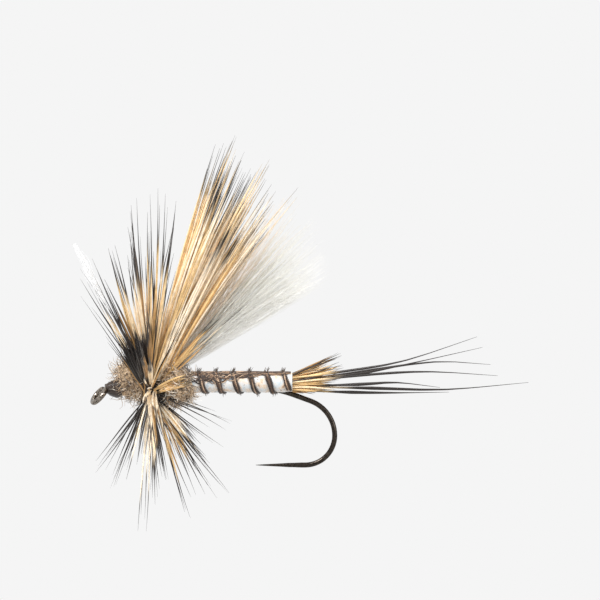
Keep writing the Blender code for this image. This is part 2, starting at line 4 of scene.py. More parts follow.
import bmesh
import bpy
import numpy as np
from bpy.props import FloatProperty, FloatVectorProperty, IntProperty, PointerProperty
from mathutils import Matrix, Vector


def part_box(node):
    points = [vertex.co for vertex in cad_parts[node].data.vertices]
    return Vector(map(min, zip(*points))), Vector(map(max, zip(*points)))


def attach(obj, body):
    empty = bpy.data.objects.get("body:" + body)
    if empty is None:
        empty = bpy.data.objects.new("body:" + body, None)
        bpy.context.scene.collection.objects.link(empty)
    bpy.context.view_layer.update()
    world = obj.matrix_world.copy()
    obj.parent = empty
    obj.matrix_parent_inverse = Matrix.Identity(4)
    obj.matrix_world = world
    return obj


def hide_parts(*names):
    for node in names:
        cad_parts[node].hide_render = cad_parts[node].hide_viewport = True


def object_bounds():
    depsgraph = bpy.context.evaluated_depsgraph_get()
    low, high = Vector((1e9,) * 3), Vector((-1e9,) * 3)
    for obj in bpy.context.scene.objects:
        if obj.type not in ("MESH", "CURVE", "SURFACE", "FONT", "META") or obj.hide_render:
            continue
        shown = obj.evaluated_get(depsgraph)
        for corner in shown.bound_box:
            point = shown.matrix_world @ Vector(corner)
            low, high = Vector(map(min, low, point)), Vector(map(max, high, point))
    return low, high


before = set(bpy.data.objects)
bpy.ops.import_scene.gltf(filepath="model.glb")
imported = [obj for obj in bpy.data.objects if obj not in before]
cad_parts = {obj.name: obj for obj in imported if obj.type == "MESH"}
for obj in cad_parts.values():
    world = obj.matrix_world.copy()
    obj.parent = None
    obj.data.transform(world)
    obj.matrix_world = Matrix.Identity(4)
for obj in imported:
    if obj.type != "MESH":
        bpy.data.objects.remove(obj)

bl_info = {
    "name": "Dry Fly Dressing",
    "version": (1, 0, 0),
    "blender": (4, 5, 0),
    "location": "3D View > Sidebar > Fly",
    "description": "Dresses the bare dry fly with hair, down, fur, thread and quill",
    "category": "Object",
}

MM = 0.001
BODY = "root"
CAD_BOX = [list(corner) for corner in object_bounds()]


def linear(code):
    """The linear colour of an sRGB hex value such as #D9B06A."""
    parts = [int(code[i : i + 2], 16) / 255 for i in (1, 3, 5)]
    return tuple(p / 12.92 if p <= 0.04045 else ((p + 0.055) / 1.055) ** 2.4 for p in parts)


def colour_property(name, description, code):
    return FloatVectorProperty(
        name=name, description=description, subtype="COLOR", size=3, min=0, max=1, default=linear(code)
    )


def length_property(name, description, millimetres):
    return FloatProperty(
        name=name, description=description, default=millimetres * MM, min=0, precision=5, unit="LENGTH"
    )


# ---- Places read from the frame, in millimetres ----


@functools.cache
def low_high(node):
    """The corners of a node's box in millimetres."""
    low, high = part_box(node)
    return np.array(low) / MM, np.array(high) / MM


def node_points(node):
    """A node's own points in millimetres, each once."""
    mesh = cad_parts[node].data
    points = np.empty(len(mesh.vertices) * 3)
    mesh.vertices.foreach_get("co", points)
    return np.unique(np.round(points.reshape(-1, 3) / MM, 4), axis=0)


def nodes_like(prefix):
    return sorted(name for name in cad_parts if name.startswith(prefix))


SHANK_Z = float(np.mean([low_high("thread_base")[i][2] for i in (0, 1)]))
COLLAR_RADIUS = (low_high("hackle_wraps")[1][1] - low_high("hackle_wraps")[0][1]) / 2
FLOSS_LOW, FLOSS_HIGH = low_high("abdomen_floss")
FLOSS_RADIUS = (FLOSS_HIGH[1] - FLOSS_LOW[1]) / 2
FLOSS_Z = (FLOSS_LOW[2] + FLOSS_HIGH[2]) / 2


def around(phi):
    """Directions square to the shank, phi round from straight up towards +Y."""
    phi = np.asarray(phi, float)
    return np.stack([np.zeros_like(phi), np.sin(phi), np.cos(phi)], axis=-1)


LOCK_SIDES = 6
LOCK_SPANS = (0.0, 0.16, 0.4, 0.68, 0.88, 1.0)  # where along a lock its solid has rings of points


def lock_curve(node):
    """The smooth line down the middle of a lock bound at the collar, as a function of 0 to 1."""
    points = node_points(node)
    foot = np.array([low_high("wing_wraps")[0][0], 0.0, SHANK_Z])
    points = points[np.argsort(np.linalg.norm(points - foot, axis=1))]
    centres = points.reshape(len(LOCK_SPANS), LOCK_SIDES, 3).mean(1)
    bends = np.polyfit(LOCK_SPANS, centres, 2)

    def at(t):
        t = np.asarray(t, float)[..., None]
        return bends[0] * t**2 + bends[1] * t + bends[2]

    return at


def centre_line(node, ring):
    """The points down the middle of a node that runs along X, ring being its number of sides."""
    points = node_points(node)
    points = points[np.argsort(points[:, 0])]
    groups = [points[i : i + ring].mean(0) for i in range(0, len(points) - ring + 1, ring)]
    return np.array(groups)


def unit(v):
    v = np.asarray(v, float)
    return v / np.linalg.norm(v, axis=-1, keepdims=True)


# ---- Node trees ----


def fill(tree, node, inputs):
    """Fills a node's inputs: a socket is linked and a plain value is set."""
    for key, value in inputs.items():
        if isinstance(value, bpy.types.NodeSocket):
            tree.links.new(value, node.inputs[key])
        else:
            node.inputs[key].default_value = value


def add_node(tree, kind, inputs=None, stops=(), **settings):
    """Adds a node with its settings, its inputs and, on a ramp, its (place, linear colour) stops."""
    node = tree.nodes.new(kind)
    for name, value in settings.items():
        setattr(node, name, value)
    fill(tree, node, inputs or {})
    if stops:
        elements = node.color_ramp.elements
        while len(elements) < len(stops):
            elements.new(0.5)
        for element, (place, colour) in zip(elements, stops):
            element.position = place
            element.color = (*colour, 1)
    return node


def new_geometry_tree(name, sizes):
    """A geometry tree with named inputs: sizes is (label, socket type, default) for each."""
    tree = bpy.data.node_groups.new(name, "GeometryNodeTree")
    tree.interface.new_socket("Geometry", in_out="INPUT", socket_type="NodeSocketGeometry")
    for label, kind, default in sizes:
        socket = tree.interface.new_socket(label, in_out="INPUT", socket_type=kind)
        if default is not None:
            socket.default_value = default
    tree.interface.new_socket("Geometry", in_out="OUTPUT", socket_type="NodeSocketGeometry")
    return tree, tree.nodes.new("NodeGroupInput")


def end_tree(tree, mesh, material):
    """Ends a tree with smooth faces, real geometry and its material."""
    smooth = add_node(tree, "GeometryNodeSetShadeSmooth", {0: mesh})
    real = add_node(tree, "GeometryNodeRealizeInstances", {0: smooth.outputs[0]})
    painted = add_node(tree, "GeometryNodeSetMaterial", {0: real.outputs[0], "Material": material})
    add_node(tree, "NodeGroupOutput", {0: painted.outputs[0]})


def strand_tree():
    """Skins every guide line as a tapered tube. The guides carry girth and tone, and each point
    learns how far along its strand it is."""
    name = "Strands along guides"
    if name in bpy.data.node_groups:
        return bpy.data.node_groups[name]
    sizes = (
        ("Sides", "NodeSocketInt", 5),
        ("Thickness", "NodeSocketFloat", 1.0),
        ("Material", "NodeSocketMaterial", None),
    )
    tree, given = new_geometry_tree(name, sizes)
    lines = add_node(tree, "GeometryNodeMeshToCurve", {0: given.outputs["Geometry"]})
    place = add_node(tree, "GeometryNodeSplineParameter")
    marked = add_node(
        tree,
        "GeometryNodeStoreNamedAttribute",
        {"Geometry": lines.outputs[0], "Name": "along", "Value": place.outputs["Factor"]},
        data_type="FLOAT",
        domain="POINT",
    )
    girth = add_node(tree, "GeometryNodeInputNamedAttribute", {"Name": "girth"}, data_type="FLOAT")
    scale = add_node(
        tree, "ShaderNodeMath", {0: girth.outputs[0], 1: given.outputs["Thickness"]}, operation="MULTIPLY"
    )
    ring = add_node(
        tree, "GeometryNodeCurvePrimitiveCircle", {"Resolution": given.outputs["Sides"], "Radius": 1.0}
    )
    tube = add_node(
        tree,
        "GeometryNodeCurveToMesh",
        {
            "Curve": marked.outputs[0],
            "Profile Curve": ring.outputs["Curve"],
            "Scale": scale.outputs[0],
            "Fill Caps": True,
        },
    )
    end_tree(tree, tube.outputs[0], given.outputs["Material"])
    return tree


# One fibre of fur, as an open curl of unit size
CURL = {"Resolution": 9, "Rotations": 0.5, "Start Radius": 0.1, "End Radius": 0.3, "Height": 0.9}
TONE_SEED = 77  # its own, so that a fibre's tone doesn't follow its length


def fur_tree():
    """Scatters short curly fibres over a surface, each with its own lean, size and tone."""
    name = "Loose fur"
    if name in bpy.data.node_groups:
        return bpy.data.node_groups[name]
    sizes = (
        ("Density", "NodeSocketFloat", 50e6),
        ("Seed", "NodeSocketInt", 1),
        ("Shortest", "NodeSocketFloat", 0.3 * MM),
        ("Longest", "NodeSocketFloat", 1.0 * MM),
        ("Lean", "NodeSocketFloat", 1.1),
        ("Thickness", "NodeSocketFloat", 0.01 * MM),
        ("Material", "NodeSocketMaterial", None),
    )
    tree, given = new_geometry_tree(name, sizes)
    scatter = add_node(
        tree,
        "GeometryNodeDistributePointsOnFaces",
        {
            "Mesh": given.outputs["Geometry"],
            "Density": given.outputs["Density"],
            "Seed": given.outputs["Seed"],
        },
    )
    curl = add_node(tree, "GeometryNodeCurveSpiral", CURL)
    back = add_node(tree, "ShaderNodeMath", {0: given.outputs["Lean"], 1: -1.0}, operation="MULTIPLY")
    tilt = add_node(
        tree,
        "FunctionNodeRandomValue",
        {0: back.outputs[0], 1: given.outputs["Lean"], "Seed": given.outputs["Seed"]},
        data_type="FLOAT_VECTOR",
    )
    turn = add_node(tree, "FunctionNodeEulerToRotation", {0: tilt.outputs[0]})
    facing = add_node(
        tree,
        "FunctionNodeRotateRotation",
        {"Rotation": scatter.outputs["Rotation"], "Rotate By": turn.outputs[0]},
        rotation_space="LOCAL",
    )
    length = add_node(
        tree,
        "FunctionNodeRandomValue",
        {2: given.outputs["Shortest"], 3: given.outputs["Longest"], "Seed": given.outputs["Seed"]},
        data_type="FLOAT",
    )
    planted = add_node(
        tree,
        "GeometryNodeInstanceOnPoints",
        {
            "Points": scatter.outputs["Points"],
            "Instance": curl.outputs["Curve"],
            "Rotation": facing.outputs[0],
            "Scale": length.outputs[1],
        },
    )
    share = {2: 0.0, 3: 1.0, "Seed": TONE_SEED}
    pick = add_node(tree, "FunctionNodeRandomValue", share, data_type="FLOAT")
    toned = add_node(
        tree,
        "GeometryNodeStoreNamedAttribute",
        {"Geometry": planted.outputs[0], "Name": "tone", "Value": pick.outputs[1]},
        data_type="FLOAT",
        domain="INSTANCE",
    )
    real = add_node(tree, "GeometryNodeRealizeInstances", {0: toned.outputs[0]})
    place = add_node(tree, "GeometryNodeSplineParameter")
    marked = add_node(
        tree,
        "GeometryNodeStoreNamedAttribute",
        {"Geometry": real.outputs[0], "Name": "along", "Value": place.outputs["Factor"]},
        data_type="FLOAT",
        domain="POINT",
    )
    taper = add_node(
        tree,
        "ShaderNodeMapRange",
        {"Value": place.outputs["Factor"], "From Min": 0.3, "From Max": 1.0, "To Min": 1.0, "To Max": 0.25},
    )
    scale = add_node(
        tree, "ShaderNodeMath", {0: taper.outputs[0], 1: given.outputs["Thickness"]}, operation="MULTIPLY"
    )
    ring = add_node(tree, "GeometryNodeCurvePrimitiveCircle", {"Resolution": 3, "Radius": 1.0})
    tube = add_node(
        tree,
        "GeometryNodeCurveToMesh",
        {
            "Curve": marked.outputs[0],
            "Profile Curve": ring.outputs["Curve"],
            "Scale": scale.outputs[0],
            "Fill Caps": True,
        },
    )
    end_tree(tree, tube.outputs[0], given.outputs["Material"])
    return tree


def grow(name, source, tree, values):
    """Runs a tree on a source mesh and returns the result as a plain object of its own."""
    carrier = bpy.data.objects.new(name + "_guides", source)
    bpy.context.collection.objects.link(carrier)
    modifier = carrier.modifiers.new("Grow", "NODES")
    modifier.node_group = tree
    for item in tree.interface.items_tree:
        if item.item_type == "SOCKET" and item.in_out == "INPUT" and item.name in values:
            modifier[item.identifier] = values[item.name]
    depsgraph = bpy.context.evaluated_depsgraph_get()
    grown = carrier.evaluated_get(depsgraph)
    mesh = bpy.data.meshes.new_from_object(grown, preserve_all_data_layers=True, depsgraph=depsgraph)
    mesh.name = name
    bpy.data.objects.remove(carrier)
    if not mesh.polygons:
        raise RuntimeError(f"{name} grew nothing")
    piece = bpy.data.objects.new(name, mesh)
    bpy.context.collection.objects.link(piece)
    return piece


def settle(piece, nodes=()):
    """Gives a finished piece its body and the solids that it stands for."""
    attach(piece, BODY)
    if nodes:
        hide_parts(*nodes)


# ---- Strands ----


class Guides:
    """Lines for the strand tree, with the girth at each point and one tone and tip for each line."""

    def __init__(self):
        self.lines = []

    def add(self, points, girth, tone, tip=1.0, base=0.0):
        self.lines.append((np.asarray(points, float), np.asarray(girth, float), tone, tip, base))

    def mesh(self, name):
        points = np.concatenate([line[0] for line in self.lines]) * MM
        counts = [len(line[0]) for line in self.lines]
        edges = []
        first = 0
        for count in counts:
            edges += [(first + i, first + i + 1) for i in range(count - 1)]
            first += count
        mesh = bpy.data.meshes.new(name + "_guides")
        mesh.from_pydata(points.tolist(), edges, [])
        columns = {
            "girth": np.concatenate([line[1] for line in self.lines]) * MM,
            "tone": np.repeat([line[2] for line in self.lines], counts),
            "tip": np.repeat([line[3] for line in self.lines], counts),
            "base": np.repeat([line[4] for line in self.lines], counts),
        }
        for label, values in columns.items():
            mesh.attributes.new(label, "FLOAT", "POINT").data.foreach_set("value", values)
        return mesh


def strands(name, guides, material, sides=5):
    return grow(name, guides.mesh(name), strand_tree(), {"Sides": sides, "Material": material})


WAVES = (1.3, 0.91)  # in a bent line's length, on its two sides
HAIR_WOBBLE = 0.006  # how far a hair wavers, as a share of its length


def bent_line(root, leaving, arriving, length, count, rng, wobble=0.01):
    """A line that leaves one way, ends another, and wavers a little more towards its tip."""
    t = np.linspace(0, 1, count)
    way = unit(unit(leaving) * (1 - t[:, None]) + unit(arriving) * t[:, None])
    steps = (way[1:] + way[:-1]) / 2 * length / (count - 1)
    line = np.vstack([[root], root + np.cumsum(steps, axis=0)])
    side = unit(np.cross(leaving, rng.normal(size=3)))
    other = unit(np.cross(leaving, side))
    sways = [
        np.sin(2 * math.pi * waves * t + phase) - math.sin(phase)
        for waves, phase in zip(WAVES, rng.uniform(0, 2 * math.pi, 2))
    ]
    sway = side * sways[0][:, None] + other * sways[1][:, None]
    return line + sway * (wobble * length * t[:, None])


HAIR_PLACES = (0, 0.15, 0.35, 0.55, 0.75, 0.9, 1.0)
FINE_TIP = (0.55, 0.85, 1.0, 0.85, 0.42, 0.2, 0.07)
FULL_TIP = (0.5, 0.8, 1.0, 0.95, 0.66, 0.36, 0.07)


def hair_girth(count, belly, shape=FINE_TIP):
    """Deer hair: slim at the root, fullest a third of the way up and drawn out to its tip."""
    return np.interp(np.linspace(0, 1, count), HAIR_PLACES, shape) * belly


# ---- Finishes ----

FIBRE_IOR = 1.55  # keratin, silk and nylon are all close to this


def new_material(name):
    made = bpy.data.materials.new(name)
    made.use_nodes = True
    return made, made.node_tree, made.node_tree.nodes["Principled BSDF"]


def mottled(tree, colour, patch, least, most):
    """Lightens and darkens a colour by a soft noise whose patches are that many millimetres across."""
    where = add_node(tree, "ShaderNodeTexCoord").outputs["Object"]
    noise = add_node(tree, "ShaderNodeTexNoise", {"Vector": where, "Scale": 1 / (patch * MM)})
    level = add_node(
        tree,
        "ShaderNodeMapRange",
        {"Value": noise.outputs[0], "From Min": 0.3, "From Max": 0.7, "To Min": least, "To Max": most},
    )
    scaled = add_node(
        tree, "ShaderNodeVectorMath", {0: colour, "Scale": level.outputs[0]}, operation="SCALE"
    )
    return scaled.outputs[0]


def deer_hair(name, given):
    """Deer hair: hollow and satin, so its shafts are pale and glow, and its tips are near black.
    Tones run from wholly dark hairs through brown to pale gold. Each hair's base and tip say how far
    its dark root reaches and where its dark tip starts."""
    made, tree, shader = new_material(name)
    tone, along, tip, base = (
        add_node(tree, "ShaderNodeAttribute", attribute_name=label).outputs["Fac"]
        for label in ("tone", "along", "tip", "base")
    )
    shafts = [
        (0.0, given.dark),
        (0.12, linear("#3A2C22")),
        (0.2, given.shade * 0.7),
        (0.4, given.shade),
        (0.62, given.golden),
        (1.0, given.pale),
    ]
    shaft = add_node(tree, "ShaderNodeValToRGB", {0: tone}, stops=shafts).outputs["Color"]
    dark_ends = []
    for here, start, fade_from, fade_to, most in (
        (along, tip, -0.06, 0.1, 1.0),
        (base, along, -0.05, 0.05, 0.94),
    ):
        past = add_node(tree, "ShaderNodeMath", {0: here, 1: start}, operation="SUBTRACT")
        darkening = add_node(
            tree,
            "ShaderNodeMapRange",
            {"Value": past.outputs[0], "From Min": fade_from, "From Max": fade_to, "To Max": most},
            interpolation_type="SMOOTHSTEP",
        )
        dark_ends.append(darkening.outputs[0])
    dark_part = add_node(
        tree, "ShaderNodeMath", {0: dark_ends[0], 1: dark_ends[1]}, operation="MAXIMUM"
    )
    mixed = add_node(
        tree,
        "ShaderNodeMix",
        {"Factor": dark_part.outputs[0], 6: mottled(tree, shaft, 0.5, 0.8, 1.16), 7: (*given.dark, 1)},
        data_type="RGBA",
    )
    values = {
        "Base Color": mixed.outputs[2],
        "Roughness": 0.42,
        "IOR": FIBRE_IOR,
        "Specular IOR Level": 0.4,
        "Sheen Weight": 0.12,
        "Sheen Roughness": 0.4,
    }
    fill(tree, shader, values)
    return made


def toned_fibre(name, stops, roughness, sheen=0.3, patch=0.4, least=0.8, most=1.15):
    """Loose matt fibres whose colour goes from fibre to fibre over the stops, mottled in patches."""
    made, tree, shader = new_material(name)
    tone = add_node(tree, "ShaderNodeAttribute", attribute_name="tone").outputs["Fac"]
    colour = add_node(tree, "ShaderNodeValToRGB", {0: tone}, stops=stops).outputs["Color"]
    values = {
        "Base Color": mottled(tree, colour, patch, least, most),
        "Roughness": roughness,
        "IOR": FIBRE_IOR,
        "Sheen Weight": sheen,
        "Sheen Roughness": 0.5,
    }
    fill(tree, shader, values)
    return made


def black_nickel():
    """Black-nickel plating on tempered wire: a dark metal, glossy, with faint drawing marks. Round
    the eye, which sits at the origin, a paler nickel colour is painted in as a painted highlight."""
    made, tree, shader = new_material("black_nickel_plate")
    where = add_node(tree, "ShaderNodeTexCoord").outputs["Object"]
    marks = add_node(
        tree, "ShaderNodeTexNoise", {"Vector": where, "Scale": 1 / (0.12 * MM), "Detail": 3.0}
    ).outputs[0]
    # Painted highlight: a paler metal colour for the wire round the eye, standing in for its shine
    plated, eye_highlight_tint = (
        add_node(tree, "ShaderNodeValToRGB", {0: marks}, stops=stops).outputs["Color"]
        for stops in (
            [(0.35, linear("#2A2623")), (0.7, linear("#4A433C"))],
            [(0.35, linear("#4A433D")), (0.6, linear("#A2988D"))],
        )
    )
    # The painted highlight is full near the eye and fades out between 0.9 and 1.3 mm from it
    from_eye = add_node(tree, "ShaderNodeVectorMath", {0: where}, operation="LENGTH").outputs["Value"]
    eye_highlight_range = {"Value": from_eye, "From Min": 0.9 * MM, "From Max": 1.3 * MM, "To Min": 1.0, "To Max": 0.0}
    eye_highlight_share = add_node(tree, "ShaderNodeMapRange", eye_highlight_range).outputs[0]
    tint = add_node(
        tree, "ShaderNodeMix", {"Factor": eye_highlight_share, 6: plated, 7: eye_highlight_tint}, data_type="RGBA"
    )
    gloss = add_node(tree, "ShaderNodeMapRange", {"Value": marks, "To Min": 0.16, "To Max": 0.3})
    bump = add_node(tree, "ShaderNodeBump", {"Strength": 0.25, "Distance": 0.002 * MM, "Height": marks})
    values = {
        "Base Color": tint.outputs[2],
        "Roughness": gloss.outputs[0],
        "Normal": bump.outputs[0],
        "Metallic": 1.0,
    }
    fill(tree, shader, values)
    return made


def varnished_thread(given):
    """Head varnish over dark thread: a hard clear coat that leaves the turns showing."""
    made, tree, shader = new_material("varnished_thread")
    tone = add_node(tree, "ShaderNodeAttribute", attribute_name="tone").outputs["Fac"]
    stops = [(0, given.thread * 0.35), (1, given.thread)]
    colour = add_node(tree, "ShaderNodeValToRGB", {0: tone}, stops=stops).outputs["Color"]
    values = {
        "Base Color": mottled(tree, colour, 0.25, 0.45, 1.5),
        "Roughness": 0.45,
        "Coat Weight": 0.6,
        "Coat Roughness": 0.12,
    }
    fill(tree, shader, values)
    return made


def dubbed_fur(given):
    """Dubbed hare fur: matt underfur with pale and dark guard hairs mixed through it."""
    stops = [
        (0.0, linear("#23180F")),
        (0.18, linear("#5A4130")),
        (0.34, given.fur * 0.75),
        (0.55, given.fur),
        (0.75, linear("#EBD9C0")),
        (1.0, linear("#FFF9EE")),
    ]
    return toned_fibre("dubbed_hare_fur", stops, 0.75, 0.35, 0.45, 0.55, 1.35)


def matted_fur(given):
    """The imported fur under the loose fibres, matted in cream, tan and brown flecks."""
    made, tree, shader = new_material("matted_hare_fur")
    where = add_node(tree, "ShaderNodeTexCoord").outputs["Object"]
    flecks = add_node(
        tree,
        "ShaderNodeTexNoise",
        {"Vector": where, "Scale": 1 / (0.22 * MM), "Detail": 4.0, "Roughness": 0.7},
    ).outputs[0]
    stops = [
        (0.36, linear("#2E2119")),
        (0.47, given.fur * 0.4),
        (0.56, given.fur * 0.9),
        (0.68, linear("#E6D6C2")),
    ]
    colour = add_node(tree, "ShaderNodeValToRGB", {0: flecks}, stops=stops)
    bump = add_node(tree, "ShaderNodeBump", {"Strength": 0.8, "Distance": 0.05 * MM, "Height": flecks})
    values = {
        "Base Color": colour.outputs["Color"],
        "Normal": bump.outputs[0],
        "Roughness": 0.85,
        "Sheen Weight": 0.3,
    }
    fill(tree, shader, values)
    return made


def silk_floss(given):
    """Silk floss, flat and satin: pale grey-white with cream and rosy patches, darker brown beside
    the rib and specked with brown."""
    made, tree, shader = new_material("pale_silk_floss")
    where = add_node(tree, "ShaderNodeTexCoord").outputs["Object"]
    patches = add_node(
        tree,
        "ShaderNodeTexNoise",
        {"Vector": where, "Scale": 1 / (0.6 * MM), "Detail": 3.0, "Roughness": 0.6},
    ).outputs[0]
    stops = [
        (0.32, linear("#BAC4CA")),
        (0.42, linear("#CDD2D4")),
        (0.5, given.floss),
        (0.6, linear("#DCC7B0")),
        (0.7, linear("#AD8F77")),
    ]
    colour = add_node(tree, "ShaderNodeValToRGB", {0: patches}, stops=stops).outputs["Color"]
    flecks = add_node(
        tree, "ShaderNodeTexNoise", {"Vector": where, "Scale": 1 / (0.16 * MM), "Detail": 2.0}
    ).outputs[0]
    from_rib = add_node(tree, "ShaderNodeAttribute", attribute_name="rib_distance").outputs["Fac"]
    rib_side_band = {"Value": from_rib, "From Min": 0.12, "From Max": 0.36, "To Min": 0.62}
    specked = {"Value": flecks, "From Min": 0.64, "From Max": 0.72, "To Min": 0.0, "To Max": 1.0}
    edge, speck = (
        add_node(tree, "ShaderNodeMapRange", ranges).outputs[0] for ranges in (rib_side_band, specked)
    )
    # Darker brown near the rib, fading out between 0.12 and 0.36 mm from it
    rib_side_brown = {"Factor": edge, 6: (*linear("#A3866F"), 1), 7: colour}
    rib_side_brown = add_node(tree, "ShaderNodeMix", rib_side_brown, data_type="RGBA").outputs[2]
    speckled = {"Factor": speck, 6: rib_side_brown, 7: (*linear("#6E5747"), 1)}
    speckled = add_node(tree, "ShaderNodeMix", speckled, data_type="RGBA").outputs[2]
    bump = add_node(tree, "ShaderNodeBump", {"Strength": 0.5, "Distance": 0.02 * MM, "Height": flecks})
    values = {
        "Base Color": speckled,
        "Normal": bump.outputs[0],
        "Roughness": 0.5,
        "Sheen Weight": 0.3,
    }
    fill(tree, shader, values)
    return made


# ---- Settings ----


class FlyStageSettings(bpy.types.PropertyGroup):
    framed_width: length_property("Framed width", "Width of the view at the fly", 48.0)
    aim_shift: FloatProperty(
        name="Aim shift",
        description="How far from the middle of the fly towards the tail the camera aims",
        default=-0.64 * MM,
        precision=5,
        unit="LENGTH",
    )
    aim_rise: length_property("Aim rise", "How far above the middle of the fly the camera aims", 2.34)
    lens: FloatProperty(name="Lens", description="Focal length", default=200, subtype="DISTANCE_CAMERA")
    floor_drop: length_property("Floor drop", "The floor below the lowest hair", 9.0)
    backdrop: colour_property("Backdrop", "The paper behind and below the fly", "#F5F5F5")


class FlyHairSettings(bpy.types.PropertyGroup):
    ring_tufts: IntProperty(name="Side tufts", description="Hackle tufts out to the sides", default=26, min=1)
    underhair_count: IntProperty(name="Underhair", description="Short dark hackle hairs", default=200, min=1)
    waist_count: IntProperty(name="Waist hairs", description="Golden hairs of the waist", default=24, min=1)
    wing_clumps: IntProperty(name="Wing clumps", description="Clumps of hair in the wing", default=56, min=1)
    stray_count: IntProperty(name="Strays", description="Loose hairs behind the wing", default=14, min=0)
    tail_count: IntProperty(name="Tail hairs", description="Short hairs at the tail", default=125, min=1)
    belly: length_property("Hair radius", "Radius of a hair at its fullest", 0.105)
    golden: colour_property("Golden", "The usual shaft of a hair", "#EFCB8F")
    pale: colour_property("Pale", "The palest shafts", "#FFF0D8")
    shade: colour_property("Shade", "The darkest golden shafts", "#B68C56")
    dark: colour_property("Dark", "Tips and wholly dark hairs", "#231C18")


class FlyDownSettings(bpy.types.PropertyGroup):
    barb_count: IntProperty(name="Barbs", description="Barbs in each plume", default=560, min=1)
    barb_radius: length_property("Barb radius", "Radius of a barb of down", 0.013)
    low_edge: FloatProperty(
        name="Lower edge",
        description="How steeply the lowest barbs rise from the shank",
        default=math.radians(30.5),
        subtype="ANGLE",
    )
    wisp_barbs: IntProperty(name="Wisp barbs", description="Barbs of the white wisp", default=150, min=1)
    white: colour_property("White", "The palest down", "#FBFAF6")
    grey: colour_property("Grey", "The greyest down", "#D8D6C9")
    inner: colour_property("Inner", "The down under the wing", "#F2D6B6")


class FlyBodySettings(bpy.types.PropertyGroup):
    rib_pitch: length_property("Rib pitch", "From one turn of the rib to the next", 1.35)
    rib_start_angle: FloatProperty(
        name="Rib start",
        description="Where the rib starts, round from straight up towards the far side",
        default=math.radians(65),
        subtype="ANGLE",
    )
    rib_width: length_property("Rib width", "Across the quill", 0.3)
    flue_count: IntProperty(name="Flues", description="Short fibres standing out of the rib", default=210)
    floss: colour_property("Floss", "The pale body", "#D3D0CC")
    quill: colour_property("Quill", "The rib and the back", "#5E4634")
    fur: colour_property("Fur", "The thorax", "#D3B48F")
    thread: colour_property("Thread", "Tying thread", "#3C2A1E")


SETTINGS = {
    "fly_stage": FlyStageSettings,
    "fly_hair": FlyHairSettings,
    "fly_down": FlyDownSettings,
    "fly_body": FlyBodySettings,
}


# ---- Pieces ----

# Fixed seeds, so that the fly is the same each time
SEEDS = {
    "thorax_fur_front": 5,
    "thorax_fur_rear": 6,
    "thread": 11,
    "thorax": 21,
    "abdomen": 31,
    "rib": 41,
    "wing": 51,
    "hackle": 61,
    "tail": 71,
    "down_plume_near": 81,
    "down_plume_far": 82,
    "hackle_wisp": 83,
}

# Sizes in millimetres and counts that the settings leave alone
SHARP_ANGLE = math.radians(38)  # edges of the hook sharper than this stay sharp
HEAD_THREAD_RADIUS = 0.05
COLLAR_THREAD_RADIUS = 0.045
WINDING_LIFTS = {"head": (-0.10, -0.03), "collar": (-0.08, -0.02)}  # each layer's place off the form
TURN_PITCH = 1.7  # from one turn of thread to the next, in radii of the thread
TURN_POINTS = 22
BACK_FIBRES = 260
BRUSH_FLUES = 7  # where a turn of the rib crosses the back
KNOT_HAIRS = 40
CROSSING_HAIRS = 18
DRAWN_BACK_HAIRS = 14
WHOLLY_PALE = 1.1  # a dark tip that starts past the hair's end
WIDEST_STRETCH = 0.55  # hairs that stand out sideways grow no longer than one over this
LONG_FIBRE_RADIUS = 0.09
SHORTEST_BARB = 0.8
WISP_TIP = np.array([-1.75, -2.2, 11.9])


def seeded(piece):
    return np.random.default_rng(SEEDS[piece])


def plain_piece(name, points, faces, material):
    """A piece from points in millimetres and faces, smooth, with its normals turned outwards."""
    mesh = bpy.data.meshes.new(name)
    mesh.from_pydata((np.asarray(points) * MM).tolist(), [], faces)
    shell = bmesh.new()
    shell.from_mesh(mesh)
    bmesh.ops.recalc_face_normals(shell, faces=shell.faces)
    for face in shell.faces:
        face.smooth = True
    shell.to_mesh(mesh)
    shell.free()
    mesh.materials.append(material)
    piece = bpy.data.objects.new(name, mesh)
    bpy.context.collection.objects.link(piece)
    return piece


def tube_faces(rings, sides):
    """Faces of a closed tube whose rings follow one another, with a pole point at each end."""
    faces = []
    for i in range(rings - 1):
        for j in range(sides):
            k = (j + 1) % sides
            faces.append((i * sides + j, i * sides + k, (i + 1) * sides + k, (i + 1) * sides + j))
    first, last = rings * sides, rings * sides + 1
    for j in range(sides):
        k = (j + 1) % sides
        faces.append((first, k, j))
        faces.append((last, (rings - 1) * sides + j, (rings - 1) * sides + k))
    return faces


def turned_piece(name, xs, radius_at, axis_z, sides, material):
    """A solid of turned shape on the shank's line, radius_at(x, phi) giving its surface."""
    phi = np.linspace(0, 2 * math.pi, sides, endpoint=False)
    rings = []
    for x in xs:
        r = radius_at(x, phi)
        rings.append(np.array([x, 0, axis_z]) + around(phi) * r[:, None])
    poles = [[xs[0], 0, axis_z], [xs[-1], 0, axis_z]]
    return plain_piece(name, np.vstack(rings + [poles]), tube_faces(len(xs), sides), material)


def lumps(rng, count, low, high):
    """A smooth random surface in x and phi, the sum of a few waves that meet round the ring."""
    waves = rng.uniform(low, high, count)
    turns = rng.integers(0, 6, count)
    phases = rng.uniform(0, 2 * math.pi, count)
    sizes = rng.uniform(0.4, 1.0, count)

    def at(x, phi):
        total = sum(s * np.sin(w * x + n * phi + p) for w, n, p, s in zip(waves, turns, phases, sizes))
        return total / sizes.sum()

    return at


